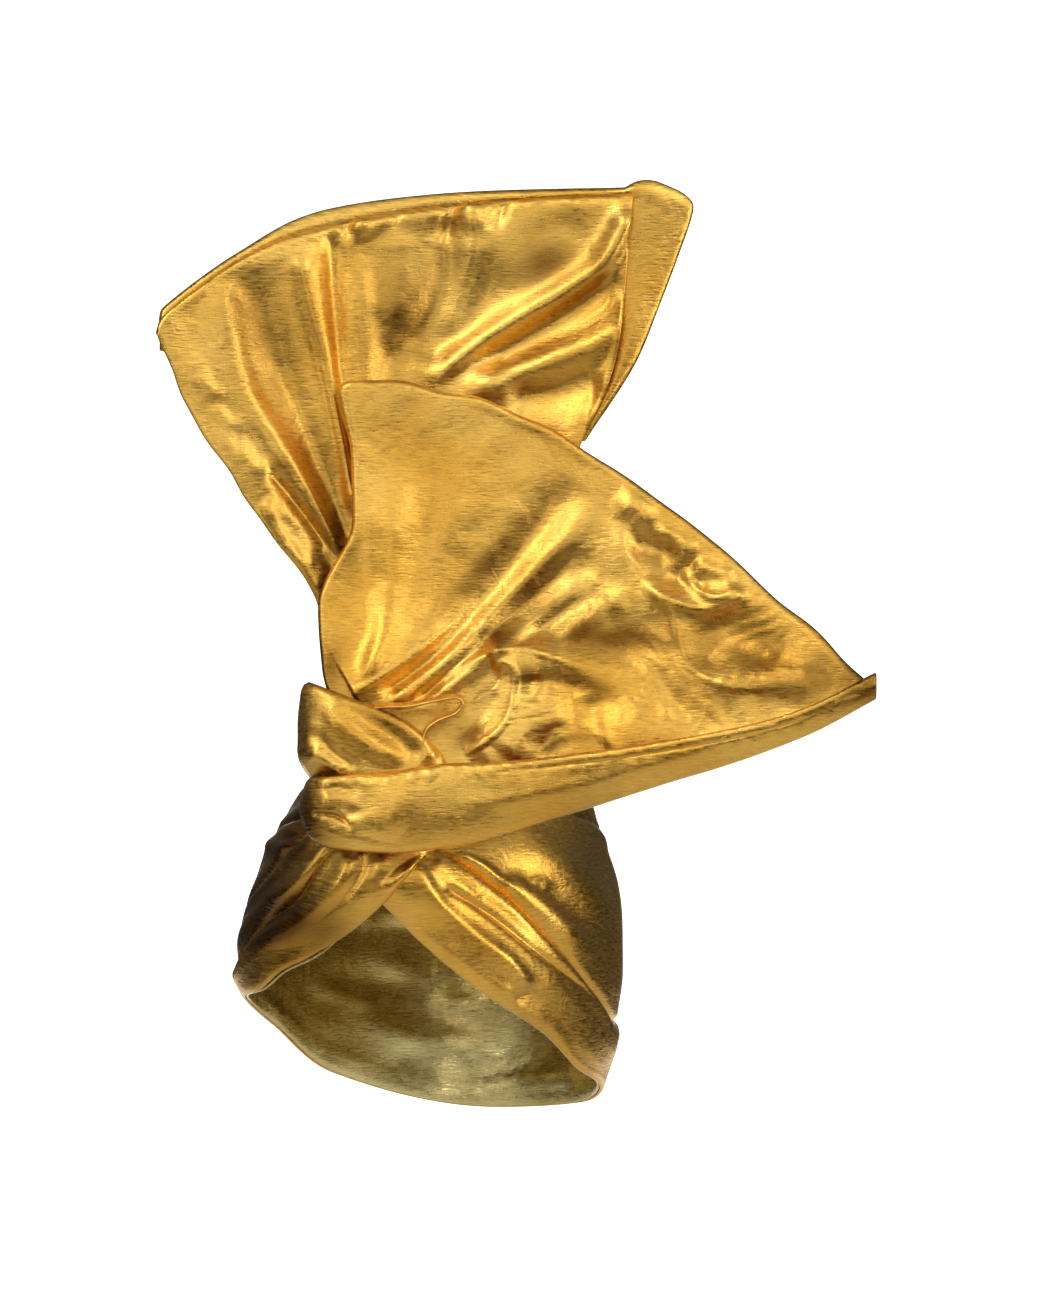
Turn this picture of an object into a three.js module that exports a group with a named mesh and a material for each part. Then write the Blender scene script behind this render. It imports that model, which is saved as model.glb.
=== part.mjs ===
// A tied turban of stiff metallic cloth: a pleated band round the head, a knot over the brow, and the cloth's
// two wide ends standing up from it, one behind the other. Millimetres, +Z up, and the wearer faces -Y.
// The origin is the middle of the head opening, level with the band's lowest point at the nape.
import * as THREE from 'three';

// Cloth
const CLOTH = 2; // wall of the doubled cloth
const SLIP = 0.3; // clearance between two layers

// Head opening, inside the band at its widest, and the band
const HEAD_WIDTH = 160;
const HEAD_DEPTH = 198;
const BAND_HEIGHT = 165;
const WIDEST_LEVEL = 60; // height at which the band is widest
const CROWN_WIDTH = 81.6; // inside the band at its top
const LEAN_LEFT = 0.05; // how far the crown leans over, per mm of height
const LEAN_BACK = 0.1;
const PLY_OVERLAP = 7; // how far a ply is tucked under the one below it
const PLY_PUFF = 3; // how far a ply stands off between its edges
const PLY_SLACK = 0.6; // further room between two plies

// Knot
const FRONT_TURN = 20; // degrees that the knot and the ends are turned towards the wearer's left
const KNOT_DROP = 10; // middle of the knot, below the band's top
const KNOT_ANGLE = 5; // degrees from the front, towards the wearer's left
const KNOT_STAND = 38; // middle of the knot, from the band's inner face
const KNOT_WIDTH = 66;
const KNOT_HEIGHT = 70;
const KNOT_DEPTH = 46;
const CORE_DROP = 18.8; // how far its gathered core hangs below its middle

// Rear end of the cloth
const REAR_WIDTH = 220;
const REAR_RISE = 273; // from the knot's middle to the top edge
const REAR_CUP = 14; // depth of its hollow
const REAR_LEAN = 14; // how far its right-hand corner leans back
const REAR_HEM = 29; // width of the turned hem at its widest

// Front end of the cloth
const FRONT_REACH = 227; // from the knot's middle to the tip
const FRONT_RISE = 184; // from the knot's middle to the top corner
const FRONT_FORWARD = 45; // how far the tip stands in front of the knot's middle
const FRONT_CUP = 10;
const CUFF_WIDTH = 35; // turned-up lower edge, at the knot
const CUFF_BULGE = 4;
const CUFF_LIP = 11; // how far its top edge stands away from the front end

const CORNER_RADIUS = 6;

const radians = THREE.MathUtils.degToRad;
const mix = THREE.MathUtils.lerp;
const ease = THREE.MathUtils.smoothstep; // ease(value, low, high)

// Places from 0 to 1 in equal steps.
const evenly = (count) => Array.from({ length: count + 1 }, (_, i) => i / count);

// A table's column at a place between its rows, on one smooth curve that overshoots no row.
function read(table, key, column, place) {
  let row = 0;
  while (row < table.length - 2 && place > table[row + 1][key]) row += 1;
  const slope = (i) => {
    if (i < 0 || i > table.length - 2) return null;
    return (table[i + 1][column] - table[i][column]) / (table[i + 1][key] - table[i][key]);
  };
  const tangent = (i) => {
    const before = slope(i - 1);
    const after = slope(i);
    if (before === null) return after;
    if (after === null) return before;
    return before * after <= 0 ? 0 : (2 * before * after) / (before + after);
  };
  const span = table[row + 1][key] - table[row][key];
  const t = THREE.MathUtils.clamp((place - table[row][key]) / span, 0, 1);
  const t2 = t * t;
  const t3 = t2 * t;
  return (
    (2 * t3 - 3 * t2 + 1) * table[row][column] +
    (t3 - 2 * t2 + t) * span * tangent(row) +
    (3 * t2 - 2 * t3) * table[row + 1][column] +
    (t3 - t2) * span * tangent(row + 1)
  );
}

// A wall of cloth. point(u, v) is its middle surface, and it is stitched shut round its free edges.
// across and along are the places where the surface is cut. A ring's last place across is its first.
function clothWall(point, across, along, wall, ring = false) {
  const step = 1e-3;
  const columns = ring ? across.length - 1 : across.length;
  const rows = along.length;
  const positions = [];
  for (const side of [0.5, -0.5]) {
    for (let i = 0; i < columns; i += 1) {
      for (let j = 0; j < rows; j += 1) {
        const [u, v] = [across[i], along[j]];
        const du = point(u + step, v).sub(point(u - step, v));
        const dv = point(u, v + step).sub(point(u, v - step));
        const normal = du.cross(dv).normalize();
        positions.push(...point(u, v).addScaledVector(normal, side * wall).toArray());
      }
    }
  }
  const at = (i, j, back) => (i % columns) * rows + j + back * columns * rows;
  const faces = [];
  const quad = (a, b, c, d) => faces.push(a, b, c, a, c, d);
  const spans = ring ? columns : columns - 1;
  for (let i = 0; i < spans; i += 1) {
    for (let j = 0; j < rows - 1; j += 1) {
      quad(at(i, j, 0), at(i + 1, j, 0), at(i + 1, j + 1, 0), at(i, j + 1, 0));
      quad(at(i, j, 1), at(i, j + 1, 1), at(i + 1, j + 1, 1), at(i + 1, j, 1));
    }
    quad(at(i, 0, 1), at(i + 1, 0, 1), at(i + 1, 0, 0), at(i, 0, 0));
    quad(at(i, rows - 1, 0), at(i + 1, rows - 1, 0), at(i + 1, rows - 1, 1), at(i, rows - 1, 1));
  }
  for (let j = 0; j < rows - 1 && !ring; j += 1) {
    const end = columns - 1;
    quad(at(0, j, 0), at(0, j + 1, 0), at(0, j + 1, 1), at(0, j, 1));
    quad(at(end, j, 1), at(end, j + 1, 1), at(end, j + 1, 0), at(end, j, 0));
  }
  const geometry = new THREE.BufferGeometry();
  geometry.setAttribute('position', new THREE.Float32BufferAttribute(positions, 3));
  geometry.setIndex(faces);
  return facingOut(geometry);
}

// Turns a closed geometry's faces round if they point inwards.
function facingOut(geometry) {
  const place = geometry.getAttribute('position');
  const order = geometry.getIndex().array;
  const corner = [0, 1, 2].map(() => new THREE.Vector3());
  let volume = 0;
  for (let f = 0; f < order.length; f += 3) {
    corner.forEach((c, n) => c.fromBufferAttribute(place, order[f + n]));
    volume += corner[0].dot(corner[1].clone().cross(corner[2]));
  }
  if (volume < 0) {
    for (let f = 0; f < order.length; f += 3) [order[f + 1], order[f + 2]] = [order[f + 2], order[f + 1]];
  }
  geometry.computeVertexNormals();
  return geometry;
}

// The head as the band holds it: a point at an angle from the front, turning to the wearer's left,
// at a height, and a distance outside the band's inner face.
function headPoint(angle, height, outside) {
  const turn = radians(angle);
  const [a, b] = [HEAD_WIDTH / 2, HEAD_DEPTH / 2];
  const ellipse = (a * b) / Math.hypot(b * Math.sin(turn), a * Math.cos(turn));
  const rise = BAND_HEIGHT - WIDEST_LEVEL;
  const above = Math.max(0, height - WIDEST_LEVEL) / rise;
  const closing = 1 - (CROWN_WIDTH / HEAD_WIDTH) ** 2;
  const narrowing = Math.sqrt(Math.max(0.1, 1 - closing * above * above));
  const slope = (ellipse * closing * above) / (rise * narrowing);
  const radius = ellipse * narrowing + outside * Math.hypot(1, slope);
  const lean = height - WIDEST_LEVEL;
  return new THREE.Vector3(
    LEAN_LEFT * lean + radius * Math.sin(turn),
    LEAN_BACK * lean - radius * Math.cos(turn),
    height,
  );
}

// The edges of the four plies round the head, as shares of the band's height. way is the angle travelled from
// the right-hand end at the knot, round the back of the head, to the left-hand end under it.
const FIRST_ANGLE = 18;
const PLY_EDGES = [
  { way: 0, rim: 0.73, lapel: 0.81, second: 0.86, third: 0.91, crown: 0.97 },
  { way: 12, rim: 0.59, lapel: 0.79, second: 0.84, third: 0.9, crown: 0.97 },
  { way: 20, rim: 0.51, lapel: 0.71, second: 0.79, third: 0.85, crown: 0.97 },
  { way: 28, rim: 0.44, lapel: 0.62, second: 0.745, third: 0.81, crown: 0.97 },
  { way: 38, rim: 0.4, lapel: 0.55, second: 0.69, third: 0.78, crown: 0.96 },
  { way: 50, rim: 0.345, lapel: 0.49, second: 0.635, third: 0.775, crown: 0.94 },
  { way: 68, rim: 0.33, lapel: 0.41, second: 0.58, third: 0.76, crown: 0.9 },
  { way: 88, rim: 0.31, lapel: 0.395, second: 0.5, third: 0.71, crown: 0.85 },
  { way: 118, rim: 0.24, lapel: 0.37, second: 0.51, third: 0.68, crown: 0.83 },
  { way: 150, rim: 0.1, lapel: 0.33, second: 0.55, third: 0.72, crown: 0.88 },
  { way: 198, rim: 0, lapel: 0.29, second: 0.63, third: 0.81, crown: 0.97 },
  { way: 232, rim: 0.02, lapel: 0.27, second: 0.72, third: 0.87, crown: 1 },
  { way: 268, rim: 0.08, lapel: 0.25, second: 0.79, third: 0.9, crown: 1 },
  { way: 293, rim: 0.12, lapel: 0.33, second: 0.82, third: 0.905, crown: 1 },
  { way: 318, rim: 0.23, lapel: 0.46, second: 0.84, third: 0.91, crown: 0.99 },
  { way: 338, rim: 0.32, lapel: 0.6, second: 0.85, third: 0.91, crown: 0.98 },
  { way: 358, rim: 0.46, lapel: 0.715, second: 0.84, third: 0.9, crown: 0.97 },
  { way: 376, rim: 0.66, lapel: 0.79, second: 0.84, third: 0.9, crown: 0.97 },
];
const WHOLE_WAY = 376;
const CROSSING_WAY = 12; // where the band is cut open for counting, under the crossing of the plies' ends
const AROUND = 46;
const RING_WAYS = evenly(AROUND).map((t) => CROSSING_WAY + 360 * t - 26 * Math.sin(2 * Math.PI * t));
const PLY_WAYS = [0, 4, 8, ...RING_WAYS, WHOLE_WAY];
const plyEdge = (column, way) => BAND_HEIGHT * read(PLY_EDGES, 'way', column, way);

// The plies' bed: the head, with the plies drawn forward off the brow towards the knot, as far as nine
// layers of cloth behind its middle.
function bedPoint(way, height) {
  const angle = FIRST_ANGLE - way;
  const off = way < WHOLE_WAY / 2 ? angle - 4 : angle + 356;
  const rise = ease(height, 0.45 * BAND_HEIGHT, 0.7 * BAND_HEIGHT) - ease(height, 0.72 * BAND_HEIGHT, 0.92 * BAND_HEIGHT);
  return headPoint(angle, height, (KNOT_STAND - 9 * CLOTH) * Math.exp(-((off / 24) ** 2)) * rise);
}

// A point at a distance off the bed. The first end of the plies is raised over the last end.
function offBed(way, height, layer) {
  const step = 0.05;
  const over = 2 * (CLOTH + SLIP + PLY_SLACK) * (1 - ease(way, 20, 90));
  const round = bedPoint(way + step, height).sub(bedPoint(way - step, height));
  const upward = bedPoint(way, height + step).sub(bedPoint(way, height - step));
  return bedPoint(way, height).addScaledVector(upward.cross(round).normalize(), layer + over);
}

// One ply between two edges of the table. Its lower margin is tucked under the ply below, and its upper edge
// stands over the margin of the ply above.
function plyPoint(below, lower, upper) {
  return (way, v) => {
    const low = plyEdge(lower, way);
    const high = plyEdge(upper, way);
    const tuckOf = (width) => Math.min(PLY_OVERLAP, 0.3 * width);
    const margin = below ? 0.8 * tuckOf(low - plyEdge(below, way)) : 0;
    const tuck = upper === 'crown' ? 0.1 * (high - low) : tuckOf(high - low);
    const stations = [low - margin, low, mix(low, high, 0.4), high - 2.3 * tuck, high - tuck, high];
    const index = THREE.MathUtils.clamp(Math.floor(v), 0, stations.length - 2);
    const height = mix(stations[index], stations[index + 1], v - index);
    const covering = upper === 'crown' ? 0 : ease(height, high - 2.3 * tuck, high - tuck);
    const share = THREE.MathUtils.clamp((height - low) / (high - low), 0, 1);
    const ends = ease(way, 0, 30) * (1 - ease(way, WHOLE_WAY - 30, WHOLE_WAY));
    const puff = Math.min(PLY_PUFF, 0.12 * (high - low)) * Math.sin(Math.PI * share) ** 2 * ends;
    const layer = 1.5 * CLOTH + SLIP + 0.3 * PLY_SLACK + covering * (CLOTH + SLIP + PLY_SLACK) + puff;
    return offBed(way, height, layer);
  };
}

// The inner layer of the band, a ring behind all four plies, cut at the same heights as their edges.
function bandPoint(way, v) {
  const edge = ['rim', 'lapel', 'second', 'third', 'crown'].map((column) => plyEdge(column, way));
  edge[0] += CLOTH;
  edge[4] -= CLOTH;
  const index = THREE.MathUtils.clamp(Math.floor(v), 0, 3);
  return headPoint(FIRST_ANGLE - way, mix(edge[index], edge[index + 1], v - index), CLOTH / 2);
}

// Everything tied at the front is placed from the knot's middle, across to the wearer's left, up and forward.
const forwardPoint = (across, up, forward) => new THREE.Vector3(across, -forward, up);

// Height of a hump over a row, from 0 at both ends to 1 at its peak.
const hump = (u, peak) => (u < peak ? Math.sin((Math.PI * u) / (2 * peak)) : Math.cos((Math.PI * (u - peak)) / (2 * (1 - peak))));

// How far a rounded corner draws an edge in, at a distance from the corner.
function cornerDraw(distance, radius) {
  const short = Math.max(0, radius - distance);
  return radius - Math.sqrt(Math.max(0, radius * radius - short * short));
}

// Soft ridges of cloth that run from the knot to the edge: each has its place across, its height and its spread.
const ridges = (table, u) => table.reduce((sum, fold) => sum + fold.height * Math.exp(-(((u - fold.place) / fold.spread) ** 2)), 0);

// Rear end, from the knot to its top edge. Across in shares of its width, up in shares of its rise, and how
// far its left-hand side stands forward in shares of the knot's depth.
const REAR_SECTIONS = [
  { way: 0, left: -0.075, leftUp: 0.075, right: 0.08, rightUp: 0.075, arch: 0, stand: -0.36, cup: 0 },
  { way: 0.12, left: -0.11, leftUp: 0.19, right: 0.155, rightUp: 0.19, arch: 0, stand: -0.29, cup: 0 },
  { way: 0.25, left: -0.123, leftUp: 0.286, right: 0.245, rightUp: 0.286, arch: 0.02, stand: -0.2, cup: 0.25 },
  { way: 0.42, left: -0.24, leftUp: 0.43, right: 0.34, rightUp: 0.43, arch: 0.04, stand: -0.1, cup: 0.6 },
  { way: 0.6, left: -0.34, leftUp: 0.55, right: 0.425, rightUp: 0.57, arch: 0.06, stand: -0.03, cup: 0.9 },
  { way: 0.8, left: -0.423, leftUp: 0.667, right: 0.497, rightUp: 0.715, arch: 0.08, stand: 0, cup: 1 },
  { way: 1, left: -0.459, leftUp: 0.77, right: 0.532, rightUp: 0.985, arch: 0.083, stand: 0.03, cup: 1 },
];
const REAR_FOLDS = [
  { place: 0.12, height: 4, spread: 0.05 },
  { place: 0.38, height: 5, spread: 0.06 },
  { place: 0.62, height: 4, spread: 0.07 },
  { place: 0.85, height: 6, spread: 0.06 },
];
function rearPoint(u, v) {
  const at = (column) => read(REAR_SECTIONS, 'way', column, v);
  const beyond = v > 1 ? v - 1 : Math.min(0, v);
  const across = REAR_WIDTH * mix(at('left'), at('right'), u);
  const corner = cornerDraw(u * REAR_WIDTH, CORNER_RADIUS) * ease(v, 0.8, 1);
  const up = REAR_RISE * (mix(at('leftUp'), at('rightUp'), u) + at('arch') * hump(u, 0.3) + beyond) - corner;
  const hollow = REAR_CUP * at('cup') * Math.sin(Math.PI * THREE.MathUtils.clamp(u, 0, 1));
  const folds = ridges(REAR_FOLDS, u) * ease(v, 0.2, 0.5);
  const forward = KNOT_DEPTH * at('stand') - REAR_LEAN * u * v - hollow + folds;
  return forwardPoint(across, up, forward);
}

// The hem of the rear end, turned back along its top and down its left-hand side. aim is the direction in which
// it stands out, in degrees above the level, and width its share of the widest.
const REAR_HEM_SECTIONS = [
  { way: 0, u: 0, v: 0.93, aim: 170, width: 0.05 },
  { way: 0.06, u: 0.02, v: 1, aim: 145, width: 0.1 },
  { way: 0.2, u: 0.18, v: 1, aim: 118, width: 0.12 },
  { way: 0.32, u: 0.36, v: 1, aim: 100, width: 0.28 },
  { way: 0.45, u: 0.58, v: 1, aim: 90, width: 0.22 },
  { way: 0.56, u: 0.8, v: 1, aim: 90, width: 0.14 },
  { way: 0.66, u: 0.98, v: 1, aim: 84, width: 0.1 },
  { way: 0.72, u: 1, v: 0.995, aim: 22, width: 0.55 },
  { way: 0.76, u: 1, v: 0.985, aim: 0, width: 0.97 },
  { way: 0.81, u: 1, v: 0.94, aim: -12, width: 0.8 },
  { way: 0.87, u: 1, v: 0.86, aim: -18, width: 0.5 },
  { way: 0.93, u: 1, v: 0.74, aim: -20, width: 0.2 },
  { way: 1, u: 1, v: 0.6, aim: -20, width: 0.04 },
];
const HEM_UNDERLAP = 5;
function rearHemPoint(u, v) {
  const at = (column) => read(REAR_HEM_SECTIONS, 'way', column, u);
  const base = rearPoint(at('u'), at('v'));
  const aim = radians(at('aim'));
  const out = mix(-HEM_UNDERLAP, REAR_HEM * at('width'), v);
  const behind = CLOTH + SLIP + 2 + 0.1 * Math.max(0, out);
  return base.add(forwardPoint(out * Math.cos(aim), out * Math.sin(aim), -behind));
}

// Front end, from the knot to its long free edge, between its upper side edge and the fold along its bottom.
// Across in shares of its reach, up in shares of its rise, stand in shares of the knot's depth, and out in
// shares of how far the tip comes forward.
const FRONT_SECTIONS = [
  { way: 0, side: -0.075, sideUp: 0.13, fold: 0.062, foldUp: -0.08, arch: 0, stand: 0.37, sideOut: 0, foldOut: 0, cup: 0 },
  { way: 0.15, side: -0.11, sideUp: 0.27, fold: 0.2, foldUp: -0.13, arch: 0.09, stand: 0.37, sideOut: -0.1, foldOut: 0.04, cup: 0.1 },
  { way: 0.35, side: -0.119, sideUp: 0.43, fold: 0.405, foldUp: -0.075, arch: 0.12, stand: 0.37, sideOut: -0.21, foldOut: 0.13, cup: 0.5 },
  { way: 0.58, side: -0.05, sideUp: 0.64, fold: 0.6, foldUp: 0, arch: 0.13, stand: 0.37, sideOut: -0.3, foldOut: 0.27, cup: 0.9 },
  { way: 0.78, side: -0.053, sideUp: 0.79, fold: 0.8, foldUp: 0.09, arch: 0.13, stand: 0.37, sideOut: -0.36, foldOut: 0.43, cup: 1 },
  { way: 1, side: -0.07, sideUp: 0.995, fold: 0.99, foldUp: 0.225, arch: 0.125, stand: 0.37, sideOut: -0.42, foldOut: 0.6, cup: 0.8 },
];
const FRONT_FOLDS = [
  { place: 0.3, height: 3, spread: 0.06 },
  { place: 0.46, height: 5, spread: 0.05 },
  { place: 0.6, height: -4, spread: 0.05 },
  { place: 0.74, height: 6, spread: 0.06 },
];
function frontPoint(u, v) {
  const at = (column) => read(FRONT_SECTIONS, 'way', column, v);
  const chord = new THREE.Vector2(
    FRONT_REACH * (at('fold') - at('side')),
    FRONT_RISE * (at('foldUp') - at('sideUp')),
  );
  const length = chord.length();
  const arch = FRONT_REACH * at('arch') * hump(u, 0.35);
  const corner = cornerDraw(Math.min(u, 1 - u) * length, CORNER_RADIUS) * ease(v, 0.8, 1);
  const lift = (arch - corner + length * (v > 1 ? v - 1 : Math.min(0, v))) / length;
  const across = FRONT_REACH * at('side') + chord.x * u - chord.y * lift;
  const up = FRONT_RISE * at('sideUp') + chord.y * u + chord.x * lift;
  const hollow = FRONT_CUP * at('cup') * Math.sin(Math.PI * THREE.MathUtils.clamp(u, 0, 1));
  const folds = ridges(FRONT_FOLDS, u) * (ease(v, 0.25, 0.5) - 0.7 * ease(v, 0.75, 1));
  const out = KNOT_DEPTH * at('stand') + FRONT_FORWARD * mix(at('sideOut'), at('foldOut'), u * u);
  return forwardPoint(across, up, out - hollow + folds);
}

// The cuff, the front end's lower edge turned up in front, from the back of the knot to the tip. Across in
// shares of the reach, level in shares of the front end's rise, top and bottom in shares of the cuff's width
// from there, stand in shares of the knot's depth, out in shares of how far the tip comes forward, and lip in
// shares of how far the cuff's top stands away.
const CUFF_SECTIONS = [
  { way: 0, across: -0.125, level: -0.06, top: 0.3, bottom: -0.35, stand: -0.05, out: 0, lip: 0 },
  { way: 0.06, across: -0.14, level: -0.06, top: 0.3, bottom: -0.4, stand: 0.18, out: 0, lip: 0 },
  { way: 0.12, across: -0.137, level: -0.06, top: 0.31, bottom: -0.46, stand: 0.4, out: 0, lip: 0.1 },
  { way: 0.18, across: -0.095, level: -0.07, top: 0.37, bottom: -0.54, stand: 0.56, out: 0, lip: 0.25 },
  { way: 0.3, across: 0.035, level: -0.08, top: 0.49, bottom: -0.55, stand: 0.56, out: 0, lip: 0.4 },
  { way: 0.42, across: 0.16, level: -0.08, top: 0.59, bottom: -0.47, stand: 0.51, out: 0.03, lip: 0.6 },
  { way: 0.56, across: 0.36, level: -0.03, top: 0.42, bottom: -0.36, stand: 0.45, out: 0.12, lip: 0.9 },
  { way: 0.75, across: 0.64, level: 0.04, top: 0.32, bottom: -0.16, stand: 0.43, out: 0.3, lip: 1 },
  { way: 0.9, across: 0.86, level: 0.13, top: 0.2, bottom: -0.1, stand: 0.425, out: 0.48, lip: 0.6 },
  { way: 1, across: 0.995, level: 0.21, top: 0.07, bottom: -0.06, stand: 0.42, out: 0.6, lip: 0.05 },
];
function cuffPoint(u, v) {
  const at = (column) => read(CUFF_SECTIONS, 'way', column, u);
  const width = at('top') - at('bottom');
  const up = FRONT_RISE * at('level') + CUFF_WIDTH * mix(at('bottom'), at('top'), v);
  const bulge = CUFF_BULGE * width * Math.sin(Math.PI * THREE.MathUtils.clamp(v, 0, 1));
  const ahead = KNOT_DEPTH * at('stand') + FRONT_FORWARD * at('out') + CUFF_LIP * at('lip') * v;
  const round = ease(u, 0.04, 0.2);
  return forwardPoint(FRONT_REACH * at('across') - bulge * (1 - round), up, ahead + bulge * round);
}

// The strap that holds the knot, from behind it round its right-hand side and the front. In shares of the
// knot's size.
const STRAP_SECTIONS = [
  { way: 0, across: 0.4, top: 0.3, bottom: 0.02, forward: -0.4 },
  { way: 0.09, across: 0.14, top: 0.34, bottom: 0, forward: -0.46 },
  { way: 0.18, across: -0.2, top: 0.42, bottom: 0, forward: -0.44 },
  { way: 0.27, across: -0.45, top: 0.52, bottom: 0.03, forward: -0.28 },
  { way: 0.36, across: -0.52, top: 0.59, bottom: 0.06, forward: 0 },
  { way: 0.46, across: -0.51, top: 0.62, bottom: 0.07, forward: 0.24 },
  { way: 0.57, across: -0.38, top: 0.58, bottom: 0.05, forward: 0.47 },
  { way: 0.69, across: -0.15, top: 0.5, bottom: -0.05, forward: 0.54 },
  { way: 0.84, across: 0.2, top: 0.36, bottom: -0.1, forward: 0.55 },
  { way: 0.94, across: 0.42, top: 0.18, bottom: -0.12, forward: 0.465 },
  { way: 1, across: 0.5, top: 0.04, bottom: -0.13, forward: 0.42 },
];
function strapPoint(u, v) {
  const at = (column) => read(STRAP_SECTIONS, 'way', column, u);
  const up = KNOT_HEIGHT * mix(at('bottom'), at('top'), v);
  return forwardPoint(KNOT_WIDTH * at('across'), up, KNOT_DEPTH * at('forward'));
}

// The gathered cloth inside the knot, an egg with shallow upright gathers.
const CORE_GATHERS = 9;
function knotCore() {
  const profile = evenly(10).map((t) => {
    const turn = Math.PI * (t - 0.5);
    return new THREE.Vector2(t === 0 || t === 1 ? 0 : Math.cos(turn), Math.sin(turn));
  });
  const geometry = new THREE.LatheGeometry(profile, 36);
  const place = geometry.getAttribute('position');
  for (let i = 0; i < place.count; i += 1) {
    const [x, y, z] = [place.getX(i), place.getY(i), place.getZ(i)];
    const gather = 1 + 0.06 * Math.cos(CORE_GATHERS * Math.atan2(z, x));
    place.setXYZ(i, 0.34 * KNOT_WIDTH * x * gather, -0.27 * KNOT_DEPTH * z * gather, 0.34 * KNOT_HEIGHT * y);
  }
  geometry.translate(0, -0.04 * KNOT_DEPTH, 0.34 * KNOT_HEIGHT - CORE_DROP);
  return geometry;
}

const lame = (color) => new THREE.MeshStandardMaterial({ color, roughness: 0.35, metalness: 0.85, side: THREE.DoubleSide });
const GOLD = lame('#c8963c');
const DEEP_GOLD = lame('#8f6526');

function node(name, geometry, material) {
  const mesh = new THREE.Mesh(geometry, material);
  mesh.name = name;
  return mesh;
}

// The band and its plies.
const turban = new THREE.Group();
turban.add(node('head_band', clothWall(bandPoint, RING_WAYS, [0, 1, 2, 3, 4], CLOTH, true), DEEP_GOLD));
const PLIES = [
  ['ply_lapel', null, 'rim', 'lapel'],
  ['ply_second', 'rim', 'lapel', 'second'],
  ['ply_third', 'lapel', 'second', 'third'],
  ['ply_crown', 'second', 'third', 'crown'],
];
for (const [name, below, lower, upper] of PLIES) {
  const places = below ? [0, 1, 2, 3, 4, 5] : [1, 2, 3, 4, 5];
  turban.add(node(name, clothWall(plyPoint(below, lower, upper), PLY_WAYS, places, CLOTH), GOLD));
}

// The knot and the two ends, in a group that faces the way they were arranged.
const tied = new THREE.Group();
tied.position.copy(headPoint(KNOT_ANGLE, BAND_HEIGHT - KNOT_DROP, KNOT_STAND));
tied.rotation.z = radians(FRONT_TURN);
tied.add(
  node('knot_core', knotCore(), DEEP_GOLD),
  node('knot_strap', clothWall(strapPoint, evenly(26), evenly(3), CLOTH), GOLD),
  node('rear_tail', clothWall(rearPoint, evenly(30), evenly(14), CLOTH), GOLD),
  node('rear_hem', clothWall(rearHemPoint, evenly(36), evenly(2), CLOTH), GOLD),
  node('front_tail', clothWall(frontPoint, evenly(30), evenly(14), CLOTH), GOLD),
  node('front_cuff', clothWall(cuffPoint, evenly(30), evenly(4), CLOTH), GOLD),
);
turban.add(tied);

export default turban;
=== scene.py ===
import math

import bpy
import numpy as np
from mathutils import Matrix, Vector


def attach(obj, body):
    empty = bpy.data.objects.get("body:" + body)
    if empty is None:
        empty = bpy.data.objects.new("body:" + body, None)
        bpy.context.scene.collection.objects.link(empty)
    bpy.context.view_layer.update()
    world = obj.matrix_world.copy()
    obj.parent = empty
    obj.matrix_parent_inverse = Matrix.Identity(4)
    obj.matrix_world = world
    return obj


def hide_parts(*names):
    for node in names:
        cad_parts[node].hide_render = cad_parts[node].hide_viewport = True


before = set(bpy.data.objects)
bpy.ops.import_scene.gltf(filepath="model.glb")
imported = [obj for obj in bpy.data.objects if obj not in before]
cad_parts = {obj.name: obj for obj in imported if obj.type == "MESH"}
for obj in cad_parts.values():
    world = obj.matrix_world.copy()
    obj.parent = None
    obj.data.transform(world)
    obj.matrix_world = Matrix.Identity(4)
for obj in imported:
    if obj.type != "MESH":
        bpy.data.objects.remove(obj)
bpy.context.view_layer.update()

MM = 0.001
CLOTH = 1.3  # seen thickness of the cloth, in mm

# Sizes of the solids, in mm
HEAD_WIDTH = 160
HEAD_DEPTH = 198
BAND_HEIGHT = 165
WIDEST_LEVEL = 60
CROWN_WIDTH = 81.6
LEAN_LEFT = 0.05
LEAN_BACK = 0.1
SOLID_WALL = 2
SLIP = 0.3
SLACK = 0.6
FRONT_TURN = math.radians(20)
KNOT_ANGLE = 5
KNOT_LEVEL = 155
KNOT_STAND = 38
KNOT = (66, 46, 70)

# The picture: its size, what one of its steps is in mm, the middle of the head opening and the level of its nape
PICTURE_WIDTH, PICTURE_HEIGHT = 1040, 1300
PICTURE_STEP = 0.46
PICTURE_MIDDLE = 427
PICTURE_NAPE = 1115

# Numbers shared by all pieces


def ease(x, low, high):
    """0 below low, 1 above high, and 3t^2 - 2t^3 between them."""
    t = np.clip((x - low) / (high - low), 0, 1)
    return t * t * (3 - 2 * t)


def mix(a, b, t):
    """From a, where t is 0, straight to b, where t is 1."""
    return a + (b - a) * t


def between_rows(table, column, place):
    """A table's column at any place: cubic Hermite pieces whose slope at a row is the harmonic mean of the
    slopes on its two sides, or 0 where they turn, so that the curve overshoots no row."""
    rows = np.array([row[0] for row in table], float)
    value = np.array([row[column] for row in table], float)
    span = np.diff(rows)
    slope = np.diff(value) / span
    before = slope[:-1]
    after = slope[1:]
    product = before * after
    total = np.where(product > 0, before + after, 1)
    inner = np.where(product > 0, 2 * product / total, 0)
    tangent = np.concatenate([slope[:1], inner, slope[-1:]])
    place = np.asarray(place, float)
    k = np.clip(np.searchsorted(rows, place, side="right") - 1, 0, len(rows) - 2)
    t = np.clip((place - rows[k]) / span[k], 0, 1)
    return (
        (2 * t**3 - 3 * t**2 + 1) * value[k]
        + (t**3 - 2 * t**2 + t) * span[k] * tangent[k]
        + (3 * t**2 - 2 * t**3) * value[k + 1]
        + (t**3 - t**2) * span[k] * tangent[k + 1]
    )


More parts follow.
